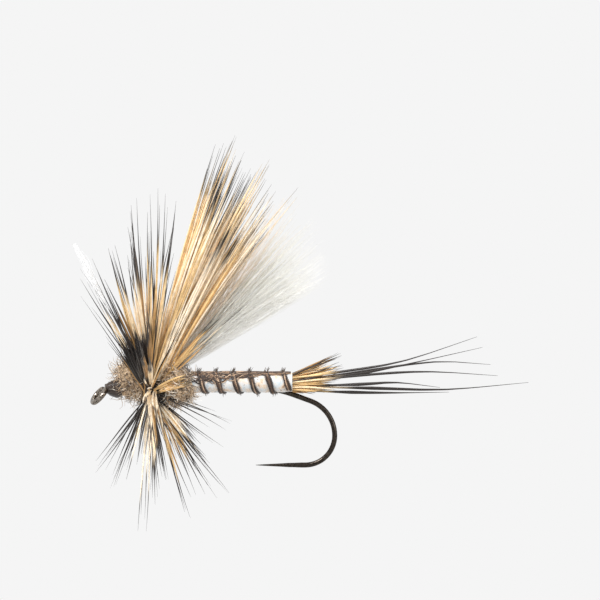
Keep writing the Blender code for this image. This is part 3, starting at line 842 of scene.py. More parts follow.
def wound_thread(guides, x_from, x_to, radius_at, thread, rng, lean=0.0):
    """Touching turns of thread from one place on the shank to another; lean tips their tops back."""
    turns = max(1, round(abs(x_to - x_from) / (thread * TURN_PITCH)))
    steps = turns * TURN_POINTS
    t = np.linspace(0, 1, steps)
    x = x_from + (x_to - x_from) * t
    phi = 2 * math.pi * turns * t
    r = np.array([radius_at(v) for v in x]) + thread * 0.25 * np.sin(phi * 0.37 + 1)
    line = np.stack([x, np.zeros(steps), np.full(steps, SHANK_Z)], 1) + around(phi) * r[:, None]
    line[:, 0] += lean * (line[:, 2] - SHANK_Z)
    guides.add(line, np.full(steps, thread), rng.uniform(0, 1))


# The paper is a round dish: flat under the fly, then a curve up to a wall. All of it is in metres.
PAPER_FLAT = 0.35
PAPER_WALL = 0.6
PAPER_TOP = 1.2
PAPER_SIDES = 64
PAPER_FLAT_RINGS = 4
PAPER_BEND_RINGS = 12

# Each lamp's name, its place from the point that the camera aims at, its width and its power
LAMPS = (
    ("key_light", Vector((-0.16, -0.22, 0.30)), 0.14, 1.5),
    ("fill_light", Vector((0.30, -0.26, 0.10)), 0.22, 0.5),
    ("back_light", Vector((0.10, 0.30, 0.32)), 0.16, 0.6),
)


def add_camera(given, aim):
    camera = bpy.data.objects.new("camera", bpy.data.cameras.new("camera"))
    camera.data.lens = given.lens
    camera.data.clip_start = 0.005
    camera.data.clip_end = 20
    away = given.framed_width * given.lens / camera.data.sensor_width
    camera.location = aim + Vector((0, -away, 0))
    camera.rotation_euler = (math.pi / 2, 0, 0)
    bpy.context.scene.collection.objects.link(camera)
    bpy.context.scene.camera = camera


def add_paper(given, middle_x, floor_z):
    """Matt white paper, lit on its own so evenly that it shows as one flat tone."""
    paper, tree, shader = new_material("matt_white_paper")
    values = {
        "Base Color": (0.0, 0.0, 0.0, 1),
        "Roughness": 1.0,
        "Specular IOR Level": 0.0,
        "Emission Color": (*given.backdrop, 1),
        "Emission Strength": 1.0,
    }
    fill(tree, shader, values)
    bend = PAPER_WALL - PAPER_FLAT
    steps = range(1, PAPER_FLAT_RINGS + 1)
    profile = [(PAPER_FLAT * i / PAPER_FLAT_RINGS, floor_z) for i in steps]
    for i in range(1, PAPER_BEND_RINGS + 1):
        angle = math.pi / 2 * i / PAPER_BEND_RINGS
        profile.append((PAPER_FLAT + bend * math.sin(angle), floor_z + bend * (1 - math.cos(angle))))
    profile.append((PAPER_WALL, floor_z + PAPER_TOP))
    points = [(middle_x, 0, floor_z)]
    for r, z in profile:
        for j in range(PAPER_SIDES):
            angle = 2 * math.pi * j / PAPER_SIDES
            points.append((middle_x + r * math.cos(angle), r * math.sin(angle), z))
    faces = [(0, 1 + j, 1 + (j + 1) % PAPER_SIDES) for j in range(PAPER_SIDES)]
    for i in range(len(profile) - 1):
        for j in range(PAPER_SIDES):
            a, b = 1 + i * PAPER_SIDES + j, 1 + i * PAPER_SIDES + (j + 1) % PAPER_SIDES
            faces.append((a, a + PAPER_SIDES, b + PAPER_SIDES, b))
    mesh = bpy.data.meshes.new("paper_sweep")
    mesh.from_pydata(points, [], faces)
    mesh.materials.append(paper)
    for polygon in mesh.polygons:
        polygon.use_smooth = True
    sweep = bpy.data.objects.new("paper_sweep", mesh)
    bpy.context.scene.collection.objects.link(sweep)


def add_lamp(name, place, aim_way, size, power):
    lamp = bpy.data.lights.new(name, "AREA")
    lamp.shape = "DISK"
    lamp.size = size
    lamp.energy = power
    holder = bpy.data.objects.new(name, lamp)
    holder.location = place
    holder.rotation_euler = aim_way.to_track_quat("-Z", "Y").to_euler()
    bpy.context.scene.collection.objects.link(holder)


class FLY_OT_stage(bpy.types.Operator):
    """Adds the camera, the soft lights and the pale paper that sweeps up behind the fly"""

    bl_idname = "fly.stage"
    bl_label = "Stage"

    def execute(self, context):
        given = context.scene.fly_stage
        low, high = np.array(CAD_BOX)
        middle = (low + high) / 2
        aim = Vector((middle[0] + given.aim_shift, 0, middle[2] + given.aim_rise))
        context.scene.view_settings.view_transform = "Standard"
        add_camera(given, aim)
        add_paper(given, middle[0], low[2] - given.floor_drop)

        world = bpy.data.worlds.new("studio")
        world.use_nodes = True
        glow = {"Color": (*given.backdrop, 1), "Strength": 1.0}
        fill(world.node_tree, world.node_tree.nodes["Background"], glow)
        context.scene.world = world
        for name, offset, size, power in LAMPS:
            add_lamp(name, aim + offset, -offset, size, power)
        return {"FINISHED"}


class FLY_OT_hook(bpy.types.Operator):
    """Makes the wire hook smooth and plates it, and colours the threads hidden under the dressing"""

    bl_idname = "fly.hook"
    bl_label = "Hook"

    def execute(self, context):
        given = context.scene.fly_body
        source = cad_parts["hook"].data.copy()
        shell = bmesh.new()
        shell.from_mesh(source)
        bmesh.ops.remove_doubles(shell, verts=shell.verts, dist=0.002 * MM)
        for face in shell.faces:
            face.smooth = True
        for edge in shell.edges:
            edge.smooth = edge.calc_face_angle(0) < SHARP_ANGLE
        shell.to_mesh(source)
        shell.free()
        source.materials.clear()
        source.materials.append(black_nickel())
        hook = bpy.data.objects.new("hook_wire", source)
        context.collection.objects.link(hook)
        settle(hook, ["hook"])

        # Waxed nylon: fine filaments laid side by side, a little glossy
        stops = [(0.2, given.thread * 0.6), (0.8, given.thread)]
        waxed = toned_fibre("waxed_nylon_thread", stops, 0.4, 0.05, 0.2)
        for node in ("thread_base", "tail_tie_thread"):
            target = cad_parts[node]
            target.data.materials.clear()
            target.data.materials.append(waxed)
        return {"FINISHED"}


class FLY_OT_thread(bpy.types.Operator):
    """Winds the head and the collar with thread"""

    bl_idname = "fly.thread"
    bl_label = "Thread windings"

    def execute(self, context):
        given = context.scene.fly_body
        rng = seeded("thread")
        low, high = low_high("head_thread")
        swell = (high[1] - low[1]) / 2
        stations = [low[0] - 0.6, low[0] - 0.35, low[0], high[0], high[0] + 0.4]
        radii = [0.26, 0.42, swell * 1.15, swell * 1.45, swell * 1.2]
        head = Guides()
        for lift in WINDING_LIFTS["head"]:
            wound_thread(
                head,
                low[0] - 0.55,
                high[0] + 0.4,
                lambda x: float(np.interp(x, stations, radii)) + lift,
                HEAD_THREAD_RADIUS,
                rng,
                lean=0.12,
            )
        varnished = varnished_thread(given)
        settle(strands("head_windings", head, varnished, 8), ["head_thread"])

        collar = Guides()
        front, back = low_high("hackle_wraps")[0][0], low_high("wing_wraps")[1][0]
        for lift in WINDING_LIFTS["collar"]:
            wound_thread(collar, front, back, lambda x: COLLAR_RADIUS + lift, COLLAR_THREAD_RADIUS, rng)
        # The same thread without varnish, waxed and a little fuzzy
        stops = [(0, given.thread * 0.5), (1, given.thread * 1.3)]
        waxed = toned_fibre("waxed_thread", stops, 0.5, 0.1, 0.2)
        windings = strands("collar_windings", collar, waxed, 6)
        settle(windings, ["hackle_wraps", "wing_wraps"])
        return {"FINISHED"}


def fur_core(name, xs, axis_z, shape, sharpness, roughness, rng, felt):
    """A lumpy core of turned shape. shape has each station's x, radius and extra radius on top, and
    a larger sharpness draws the top in to a crest."""
    bumps = lumps(rng, 9, 3.0, 9.0)
    along, base, crown = zip(*shape)

    def radius_at(x, phi):
        rise = np.clip(np.cos(phi), 0, 1) ** sharpness
        return np.interp(x, along, base) + np.interp(x, along, crown) * rise + roughness * bumps(x, phi)

    return turned_piece(name, xs, radius_at, axis_z, 40, felt)


class FLY_OT_thorax(bpy.types.Operator):
    """Builds the two lumps of dubbed fur, each a matted core with loose curly fibres on it"""

    bl_idname = "fly.thorax"
    bl_label = "Thorax fur"

    def execute(self, context):
        given = context.scene.fly_body
        rng = seeded("thorax")
        fur = dubbed_fur(given)
        felt = matted_fur(given)

        start, end = (corner[0] for corner in low_high("thorax_dubbing_front"))
        shape = (
            (start, 0.5, 0.15),
            (start + 0.25, 0.66, 0.75),
            (start + 0.7, 0.72, 1.15),
            (2.7, 0.9, 1.35),
            (3.3, 1.05, 1.1),
            (end + 0.2, 0.7, 0.4),
        )
        xs = np.linspace(start + 0.2, end + 0.15, 30)
        front = fur_core("thorax_core_front", xs, SHANK_Z, shape, 1.5, 0.12, rng, felt)
        # The fur leans forward over the head
        for vertex in front.data.vertices:
            rise = vertex.co.z - (SHANK_Z + 0.5) * MM
            vertex.co.x -= max(0.0, rise) * 0.42
        settle(front, ["thorax_dubbing_front"])

        start, end = (corner[0] for corner in low_high("thorax_dubbing_rear"))
        shape = (
            (start - 0.2, 0.6, 0.3),
            (start + 0.3, 1.2, 0.5),
            (start + 1.1, 1.45, 0.45),
            (end - 0.6, 1.2, 0.3),
            (end, 0.85, 0.25),
            (end + 0.3, 0.7, 0.1),
        )
        xs = np.linspace(start - 0.15, end + 0.25, 26)
        rear = fur_core("thorax_core_rear", xs, SHANK_Z + 0.1, shape, 2, 0.13, rng, felt)
        settle(rear, ["thorax_dubbing_rear"])

        # Fibres to the square metre, and the longest of them
        for name, core, density, longest in (
            ("thorax_fur_front", front, 24e6, 1.35),
            ("thorax_fur_rear", rear, 26e6, 1.3),
        ):
            values = {
                "Density": density,
                "Seed": SEEDS[name],
                "Shortest": 0.4 * MM,
                "Longest": longest * MM,
                "Lean": 1.45,
                "Thickness": 0.027 * MM,
                "Material": fur,
            }
            settle(grow(name, core.data.copy(), fur_tree(), values))
        return {"FINISHED"}


RIB_HALF_WIDTH = 0.18
RIB_START = low_high("rib_quill")[0][0] + RIB_HALF_WIDTH
RIB_END = low_high("rib_quill")[1][0] - RIB_HALF_WIDTH


def rib_phase(x, settings):
    """How far round the rib is at x, from the angle where it starts and turning towards -Y."""
    return settings.rib_start_angle - 2 * math.pi * (x - RIB_START) / (settings.rib_pitch / MM)


def rib_distance(x, phi, settings):
    """The distance along the shank from a point to the nearest turn of the rib."""
    off = (phi - rib_phase(x, settings)) / (2 * math.pi)
    return np.abs(off - np.round(off)) * settings.rib_pitch / MM


def back_fibres(rng):
    """Stripped quill fibres laid along the back, tangled in front and straighter to the tail."""
    back = Guides()
    low, high = low_high("back_strip")
    for _ in range(BACK_FIBRES):
        start = low[0] - 0.3 + (high[0] - low[0] - 0.9) * rng.uniform() ** 1.35
        length = rng.uniform(0.7, 3.0)
        x = np.linspace(start, min(start + length, high[0]), 14)
        half = np.interp(x, [7.4, 9.5, 11.0, 12.5, 15.3], [1.55, 1.4, 1.05, 0.8, 0.6])
        share = rng.uniform(-1, 1)
        curl = np.interp(start, [7.4, 10.5, 12.5], [0.42, 0.3, 0.1]) * rng.uniform(-1, 1)
        phi = share * half + curl * np.sin(x * rng.uniform(2.5, 5.5) + rng.uniform(0, 6))
        lift = FLOSS_RADIUS + 0.06 + rng.uniform(-0.03, 0.05)
        line = np.stack([x, 0 * x, 0 * x + FLOSS_Z], 1) + around(phi) * lift
        girth = np.interp(np.linspace(0, 1, 14), [0, 0.2, 0.8, 1], [0.3, 1, 1, 0.3])
        back.add(line, girth * rng.uniform(0.03, 0.06), rng.uniform(0, 1))
    return back


class FLY_OT_abdomen(bpy.types.Operator):
    """Builds the pale floss body, pinched in by the rib, and the brown fibres laid along its back"""

    bl_idname = "fly.abdomen"
    bl_label = "Abdomen"

    def execute(self, context):
        given = context.scene.fly_body
        rng = seeded("abdomen")
        bumps = lumps(rng, 10, 4.0, 14.0)

        def radius_at(x, phi):
            near = rib_distance(x, phi, given)
            swell = 0.07 * np.sin(np.clip(near / 0.66, 0, 1) * math.pi / 2)
            ends = np.interp(x, [FLOSS_LOW[0], FLOSS_LOW[0] + 0.3], [0.9, 1.0])
            return (FLOSS_RADIUS - 0.05 + swell + 0.035 * bumps(x, phi)) * ends

        xs = np.arange(FLOSS_LOW[0], FLOSS_HIGH[0] + 0.001, 0.075)
        floss = turned_piece("floss_body", xs, radius_at, FLOSS_Z, 72, silk_floss(given))
        marks = []
        for vertex in floss.data.vertices:
            x, y, z = np.array(vertex.co) / MM
            marks.append(rib_distance(x, math.atan2(y, z - FLOSS_Z), given))
        floss.data.attributes.new("rib_distance", "FLOAT", "POINT").data.foreach_set("value", marks)
        settle(floss, ["abdomen_floss"])

        # Quill fibres are brown, with dark edges and pale breaks
        stops = [
            (0.0, linear("#21160F")),
            (0.3, linear("#402C1F")),
            (0.55, given.quill),
            (0.8, linear("#8C6E54")),
            (1.0, linear("#C9AE92")),
        ]
        back = back_fibres(rng)
        quill = toned_fibre("mottled_quill_fibres", stops, 0.55, 0.1, 0.3, 0.6, 1.3)
        settle(strands("back_fibres", back, quill, 5), ["back_strip"])
        return {"FINISHED"}


# One stripped quill: dark ridged edges with a paler channel between them. Each strand's place and
# girth are shares of the quill's width, then come its lift and its tone.
QUILL_STRANDS = (
    (-0.5, 0.24, 0.03, 0.0),
    (-0.22, 0.2, 0.02, 0.5),
    (0.03, 0.19, 0.02, 1.0),
    (0.26, 0.2, 0.03, 0.4),
    (0.52, 0.24, 0.03, 0.0),
)


class FLY_OT_rib(bpy.types.Operator):
    """Winds the quill rib over the floss and stands its cut flues on it"""

    bl_idname = "fly.rib"
    bl_label = "Rib"

    def execute(self, context):
        given = context.scene.fly_body
        rng = seeded("rib")
        pitch = given.rib_pitch / MM
        width = given.rib_width / MM
        x = np.linspace(RIB_START, RIB_END, int((RIB_END - RIB_START) / pitch * 36))
        phi = rib_phase(x, given)
        rib = Guides()
        for place, share, lift, tone in QUILL_STRANDS:
            shift = place * width
            wobble = 0.035 * np.sin(x * 5.3 + shift * 20) + 0.025 * np.sin(x * 17.1 + shift * 90)
            r = FLOSS_RADIUS + 0.035 + lift
            line = np.stack([x + shift + wobble, 0 * x, 0 * x + FLOSS_Z], 1) + around(phi) * r
            rib.add(line, share * width * (1 + 0.22 * np.sin(x * 7.7 + shift * 30)), tone)
        stops = [
            (0.0, linear("#2A1B12")),
            (0.35, linear("#4A3324")),
            (0.65, given.quill * 1.1),
            (1.0, linear("#B4977C")),
        ]
        quill = toned_fibre("stripped_quill", stops, 0.5, 0.08, 0.35, 0.7, 1.3)
        settle(strands("quill_rib", rib, quill, 6), ["rib_quill"])

        flues = Guides()
        for _ in range(given.flue_count):
            at = rng.uniform(RIB_START, RIB_END)
            out = around(rib_phase(at, given) + rng.uniform(-0.2, 0.2))
            foot = np.array([at + rng.uniform(-0.1, 0.1), 0, FLOSS_Z]) + out * (FLOSS_RADIUS + 0.06)
            length = np.interp(out[2], [-1, -0.6, 0.6, 1], [0.32, 0.2, 0.24, 0.42])
            length *= rng.uniform(0.5, 1.2)
            lean = np.array([rng.uniform(-0.1, 0.8), 0, 0]) + rng.normal(0, 0.35, 3)
            line = bent_line(foot, out + lean * 0.5, out * 0.8 + lean, length, 5, rng, 0.03)
            flues.add(line, np.linspace(1, 0.25, 5) * rng.uniform(0.018, 0.035), rng.uniform(0, 0.6))
        # Where each turn crosses the back, its flues stand up together in a little brush
        first_top = RIB_START + given.rib_start_angle / (2 * math.pi) * pitch
        for at in np.arange(first_top, RIB_END, pitch):
            for _ in range(BRUSH_FLUES):
                foot = np.array([at + rng.uniform(-0.1, 0.14), rng.uniform(-0.3, 0.3), FLOSS_Z + 0.78])
                aim = np.array([rng.uniform(0.05, 0.55), rng.normal(0, 0.2), 1.0])
                line = bent_line(foot, aim, aim + [0.15, 0, 0], rng.uniform(0.3, 0.55), 6, rng, 0.02)
                flues.add(line, np.linspace(1, 0.3, 6) * rng.uniform(0.03, 0.05), rng.uniform(0, 0.5))
        stops = [(0.0, linear("#2B211B")), (0.5, linear("#5B4738")), (1.0, linear("#A79480"))]
        fluff = toned_fibre("quill_flues", stops, 0.7, 0.2)
        settle(strands("rib_flues", flues, fluff, 4))
        return {"FINISHED"}


def spread_hair(guides, root, tip, rng, belly, tone, tip_at, bow=0.05, count=10, base=0.0):
    """One hair from its root to its tip, with a slight bow in a direction of its own."""
    root, tip = np.asarray(root, float), np.asarray(tip, float)
    span = tip - root
    length = np.linalg.norm(span)
    side = unit(np.cross(span, rng.normal(size=3)))
    t = np.linspace(0, 1, count)
    line = root + span * t[:, None]
    line += side * (np.sin(math.pi * t) * length * bow * rng.uniform(-1, 1))[:, None]
    other = unit(np.cross(span, side))
    line += other * (np.sin(2 * math.pi * t + rng.uniform(0, 6)) * length * HAIR_WOBBLE * t)[:, None]
    guides.add(line, hair_girth(count, belly), tone, tip_at, base)


class FLY_OT_wing(bpy.types.Operator):
    """Grows the upright fan of deer hair that makes the wing"""

    bl_idname = "fly.wing"
    bl_label = "Wing"

    def execute(self, context):
        given = context.scene.fly_hair
        rng = seeded("wing")
        rows = [
            [lock_curve(f"wing_lock_{name}") for name in ("front", f"middle_{side}", f"rear_{side}")]
            for side in ("near", "far")
        ]
        last = len(rows[0]) - 1
        wing = Guides()
        belly = given.belly / MM
        count = 12
        t = np.linspace(0, 1, count)
        # Deer hair lies in clumps: the hairs of one share a place, a sway, a length and a dark tip
        for i in range(given.wing_clumps):
            curves = rows[i % 2]
            place = rng.uniform(0.03, 1.1) * last
            reach = rng.uniform(0.83, 1.03)
            sway = rng.normal(0, [0.45, 0.7, 0.25])
            seat = rng.normal(0, [0.2, 0.2, 0.12])
            dark = rng.choice([rng.uniform(0.75, 0.83), rng.uniform(0.84, 0.98)], p=[0.35, 0.65])
            shades = [rng.uniform(0.62, 1.0), rng.uniform(0.32, 0.5), 0.08]
            shade = rng.choice(shades, p=[0.82, 0.14, 0.04])
            shade = min(shade + 0.6 * max(place / last - 0.6, 0), 1.0)
            for _ in range(rng.integers(3, 9)):
                at = min(max(place + rng.normal(0, 0.05), 0.0), last + 0.15)
                k = min(int(at), last - 1)
                share = at - k
                far = reach * rng.uniform(0.93, 1.03)
                line = curves[k](t * far) * (1 - share) + curves[k + 1](t * far) * share
                line = line + seat + rng.normal(0, 0.07, 3)
                line = line + (sway + rng.normal(0, 0.13, 3)) * (t**1.4)[:, None]
                side = unit(np.cross(line[-1] - line[0], rng.normal(size=3)))
                bow = np.sin(math.pi * t) * rng.normal(0, 0.1) + np.sin(7 * t + at * 9) * 0.04 * t
                line += side * bow[:, None]
                tone = float(np.clip(shade + rng.normal(0, 0.12), 0, 1))
                girth = hair_girth(count, belly * rng.uniform(0.65, 1.1), FULL_TIP)
                wing.add(line, girth, tone, dark + rng.normal(0, 0.03))
        # A few strays leave the wing early along its rear edge
        for i in range(given.stray_count):
            angle = math.radians(rng.uniform(34, 54))
            way = np.array([math.cos(angle), rng.normal(0, 0.12), math.sin(angle)])
            root = rows[i % 2][last](0.02) + rng.normal(0, [0.2, 0.2, 0.15])
            size = belly * rng.uniform(0.6, 1.0)
            tip = root + way * rng.uniform(5.5, 10.5)
            tone, dark = rng.uniform(0.3, 0.95), rng.uniform(0.6, 0.75)
            spread_hair(wing, root, tip, rng, size, tone, dark, 0.06)
        finish = deer_hair("deer_hair_wing", given)
        settle(strands("wing_hair", wing, finish), nodes_like("wing_lock"))
        return {"FINISHED"}


# Tufts of the hackle above and below the shank: the lean towards the tail in degrees, the reach as
# a share of the longest on that side, the number of hairs, and whether they are gold, brown or dark.
TUFTS_ABOVE = (
    (-33, 0.70, 2, "dark"),
    (-30, 0.55, 2, "gold"),
    (-24, 0.70, 3, "dark"),
    (-20, 0.60, 2, "brown"),
    (-17, 0.78, 3, "gold"),
    (-13, 0.76, 3, "gold"),
    (-8, 0.88, 4, "gold"),
    (-5, 0.92, 4, "gold"),
    (-3, 1.00, 3, "brown"),
    (-1, 0.72, 4, "gold"),
    (1, 1.00, 3, "gold"),
    (3, 0.72, 3, "brown"),
    (5, 1.00, 3, "gold"),
    (9, 1.02, 2, "gold"),
    (12, 0.68, 3, "gold"),
)
TUFTS_BELOW = (
    (-36, 0.72, 2, "dark"),
    (-27, 0.62, 1, "dark"),
    (-21, 0.74, 4, "dark"),
    (-15, 0.66, 2, "gold"),
    (-11, 0.54, 2, "dark"),
    (-3, 1.00, 3, "gold"),
    (2, 0.62, 2, "gold"),
    (5, 0.78, 3, "gold"),
    (11, 0.66, 6, "dark"),
    (16, 1.02, 3, "brown"),
    (24, 0.72, 2, "gold"),
    (30, 0.93, 4, "brown"),
    (38, 0.90, 3, "dark"),
    (40, 0.66, 7, "gold"),
    (52, 0.64, 2, "dark"),
    (65, 0.62, 1, "dark"),
    (71, 0.70, 2, "dark"),
)


def hair_tone(kind, rng):
    """The tone of a hair and how far along it the dark tip starts."""
    if kind == "dark":
        return rng.uniform(0.0, 0.1), 0.0
    if kind == "brown":
        return rng.uniform(0.2, 0.46), rng.uniform(0.45, 0.7)
    return rng.uniform(0.55, 1.0), rng.uniform(0.52, 0.76)



def knotted_underhair(given, rng, waist):
    """Short dark hairs packed in front of the collar, and the knot of them below the waist."""
    belly = given.belly / MM
    under = Guides()
    for i in range(given.underhair_count):
        side = 1 if i % 4 else -1
        lean = math.radians(rng.uniform(-31, 3))
        way = np.array([math.sin(lean), -rng.uniform(0.3, 0.85), math.cos(lean)])
        root = waist + np.array([rng.normal(0, 0.15), rng.uniform(-0.35, 0.2), rng.uniform(0.1, 0.9)])
        tip = root + unit(way) * rng.uniform(3.4, 5.6)
        flip = np.array([1, side, 1])
        size = belly * rng.uniform(0.7, 1.1)
        spread_hair(under, root * flip, tip * flip, rng, size, rng.uniform(0, 0.08), 0, 0.05)
    for _ in range(KNOT_HAIRS):
        root = waist + rng.normal(0, [0.2, 0.1, 0.18]) + [0.5, -0.15, -0.1]
        way = unit(np.array([rng.uniform(-0.2, 1.0), rng.uniform(-0.5, 0.1), rng.uniform(-1.0, 0.5)]))
        tip = root + way * rng.uniform(0.5, 1.5)
        spread_hair(under, root, tip, rng, belly * 0.8, rng.uniform(0, 0.12), 0, 0.25, 7)
    return under


def waist_hairs(given, rng, waist):
    """Golden hairs drawn into a waist on the near side, which fan out again above and below."""
    belly = given.belly / MM
    front = Guides()
    for i in range(given.waist_count):
        up = i % 4 != 3
        # Few of them cross the dark underhair, so it shows between two golden sprays
        spray = rng.choice(3, p=[0.3, 0.08, 0.62])
        lean = rng.uniform((-39, -22, 1)[spray], (-28, -4, 29)[spray])
        lean = math.radians(lean if up else rng.uniform(-20, 46))
        side = 1 if up else -1
        reach = rng.uniform(4.0, 11.0) if up else rng.uniform(2.2, 6.0)
        root = waist + rng.normal(0, [0.09, 0.05, 0.12]) - [0, 0.35, 0.25 * side]
        knee = waist + np.array([0.35 * math.sin(lean), -0.55, side * 0.55])
        way = np.array([math.sin(lean), -rng.uniform(0, 0.35), side * math.cos(lean)])
        tip = knee + way * reach
        t = np.linspace(0, 1, 12)[:, None]
        line = root * (1 - t) ** 2 + 2 * knee * t * (1 - t) + tip * t**2
        tone, dark = hair_tone(str(rng.choice(["gold", "brown", "dark"], p=[0.45, 0.35, 0.2])), rng)
        girth = hair_girth(12, belly * rng.uniform(0.65, 1.0))
        sooty = rng.choice([0.0, rng.uniform(0.15, 0.3)], p=[0.45, 0.55])
        front.add(line, girth, tone, dark, sooty)
    # Short ones cross the waist from below, and a lock of others is drawn back over the fur
    for _ in range(CROSSING_HAIRS):
        root = waist + rng.normal(0, [0.13, 0.06, 0.12]) + [-0.1, -0.5, -0.55]
        tip = waist + rng.normal(0, [0.2, 0.08, 0.25]) + [0.05, -0.55, 1.9]
        tone = rng.choice([0.05, rng.uniform(0.3, 0.62)], p=[0.3, 0.7])
        spread_hair(front, root, tip, rng, belly * rng.uniform(0.7, 1.1), tone, WHOLLY_PALE, 0.05)
    for _ in range(DRAWN_BACK_HAIRS):
        root = waist + [0.5, -0.25, 0.3] + rng.normal(0, 0.1, 3)
        way = np.array([1.0, -0.1 + rng.normal(0, 0.1), rng.uniform(0.2, 0.5)])
        tip = root + unit(way) * rng.uniform(2.0, 3.8)
        size = belly * rng.uniform(0.8, 1.1)
        spread_hair(front, root, tip, rng, size, rng.uniform(0.4, 0.75), 0.75, 0.06)
    return front


class FLY_OT_hackle(bpy.types.Operator):
    """Grows the hackle of deer hair round the collar, with its pinched waist and dark underhair"""

    bl_idname = "fly.hackle"
    bl_label = "Hackle"

    def execute(self, context):
        given = context.scene.fly_hair
        rng = seeded("hackle")
        belly = given.belly / MM
        nodes = nodes_like("hackle_front_") + nodes_like("hackle_middle_") + nodes_like("hackle_rear_")
        above = max(low_high(node)[1][2] for node in nodes) - SHANK_Z
        below = SHANK_Z - min(low_high(node)[0][2] for node in nodes)
        aside = max(low_high(node)[1][1] for node in nodes)
        x_front, x_back = (corner[0] for corner in low_high("hackle_wraps"))
        rows = {"front": Guides(), "middle": Guides(), "rear": Guides()}

        def tuft(lean, reach, hairs, kind, sign, swing):
            """Hairs that leave together: sign is up or down and swing the angle out of the side plane."""
            row = "front" if lean < -12 else "rear" if lean > 12 else "middle"
            place = x_front + (x_back - x_front) * {"front": 0.15, "middle": 0.5, "rear": 0.85}[row]
            up = sign > 0
            slimmer = (0.7 if kind == "dark" else 1) * (1 if up else 0.82)
            for _ in range(hairs):
                tilt = math.radians(lean + rng.normal(0, 1.3))
                turn = math.radians(swing + rng.normal(0, 3.0))
                way = np.array([math.sin(tilt), 0, sign * math.cos(tilt)])
                way = way * math.cos(turn) + np.array([0, math.sin(turn), 0])
                seat = unit(np.array([0, way[1], way[2]])) * (COLLAR_RADIUS - 0.1)
                root = np.array([place + rng.normal(0, 0.1), 0, SHANK_Z]) + seat
                length = reach / max(math.cos(turn), WIDEST_STRETCH) * rng.uniform(0.84, 1.04)
                tone, dark = hair_tone(kind, rng)
                tone = tone if up else min(tone * 1.2 + rng.uniform(0, 0.12), 1.0)
                size = belly * rng.uniform(0.65, 1.15) * slimmer
                dark_root = rng.uniform() < (0.95 if lean < 3 else 0.3)
                sooty = rng.uniform(0.22, 0.36) if up and dark_root else 0
                tip = root + way * length
                spread_hair(rows[row], root, tip, rng, size, tone, dark, 0.03, base=sooty)

        for table, sign, reach in ((TUFTS_ABOVE, 1, above), (TUFTS_BELOW, -1, below)):
            for lean, share, hairs, kind in table:
                near = hairs + (sign < 0 and lean < 0)
                tuft(lean, share * reach, near, kind, sign, -rng.uniform(4, 26))
                lean += rng.normal(0, 3)
                tuft(lean, share * reach * 0.8, max(1, hairs - 1), kind, sign, rng.uniform(8, 40))
        # The rest of the ring stands out to both sides, square to the shank
        for i in range(given.ring_tufts):
            swing = rng.uniform(42, 88) * (1 if i % 2 else -1)
            sign = 1 if rng.uniform() < 0.65 else -1
            lean = rng.uniform(-14, 10) if sign > 0 else rng.uniform(-16, 26)
            stretch = max(math.cos(math.radians(swing)), WIDEST_STRETCH)
            reach = aside * rng.uniform(0.8, 1.0) * stretch
            kind = rng.choice(["gold", "brown", "dark"], p=[0.5, 0.2, 0.3])
            tuft(lean, reach, 3, str(kind), sign, swing)
        finish = deer_hair("deer_hair_hackle", given)
        for row, guides in rows.items():
            hair = strands(f"hackle_{row}_hair", guides, finish)
            settle(hair, nodes_like(f"hackle_{row}_"))

        waist = np.array([x_front + 0.15, -COLLAR_RADIUS - 0.25, SHANK_Z - 0.5])
        under = knotted_underhair(given, rng, waist)
        settle(strands("hackle_underhair", under, finish))
        front = waist_hairs(given, rng, waist)
        settle(strands("hackle_waist_hair", front, finish))
        return {"FINISHED"}


class FLY_OT_tail(bpy.types.Operator):
    """Grows the tail: a short tuft of deer hair round seven long dark fibres"""

    bl_idname = "fly.tail"
    bl_label = "Tail"

    def execute(self, context):
        given = context.scene.fly_hair
        rng = seeded("tail")
        belly = given.belly / MM
        long_nodes = nodes_like("tail_fibre_")
        fibres = Guides()
        for node in long_nodes:
            line = centre_line(node, LOCK_SIDES)
            steps = np.linspace(0, 1, 26)
            place = np.linspace(0, 1, len(line))
            smooth = np.stack([np.interp(steps, place, line[:, a]) for a in range(3)], 1)
            full = 1.3 if line[len(line) // 2][2] > FLOSS_Z + 0.6 else 1.75
            girth = np.interp(steps, [0, 0.12, 0.28, 0.5, 0.75, 1], [0.7, 1.0, full, 1.3, 0.7, 0.15])
            girth = girth * LONG_FIBRE_RADIUS
            fibres.add(smooth, girth, rng.uniform(0.55, 0.9), rng.uniform(0.15, 0.21))
        finish = deer_hair("tail_fibre_hair", given)
        settle(strands("tail_fibres", fibres, finish, 6), long_nodes)

        locks = nodes_like("tail_lock")
        seat = FLOSS_HIGH[0]
        reach = max(low_high(node)[1][0] for node in locks) - seat
        tuft = Guides()
        for _ in range(given.tail_count):
            height = rng.uniform(-1, 1)
            breadth = rng.uniform(-1, 1) * math.sqrt(1 - 0.8 * height**2)
            root = np.array([seat - 0.25, breadth * 0.55, FLOSS_Z + height * 0.62])
            pitch = np.interp(height, [-1, -0.6, 0, 1], [-10, 0, 10, 21])
            pitch = math.radians(pitch + rng.normal(0, 3))
            way = np.array([math.cos(pitch), breadth * 0.3 + rng.normal(0, 0.05), math.sin(pitch)])
            share = np.interp(height, [-1, -0.7, 0.2, 1], [0.45, 0.95, 1.1, 1.15])
            share *= rng.uniform(0.62, 1.08)
            tones = [rng.uniform(0.5, 0.85), rng.uniform(0.22, 0.42), 0.1]
            tone = rng.choice(tones, p=[0.45, 0.4, 0.15])
            size = belly * rng.uniform(0.6, 1.0)
            tip = root + way * reach * share
            spread_hair(tuft, root, tip, rng, size, tone, rng.uniform(0.7, 0.9), 0.04)
        finish = deer_hair("deer_hair_tail", given)
        settle(strands("tail_hair", tuft, finish), locks + ["tail_core"])
        return {"FINISHED"}


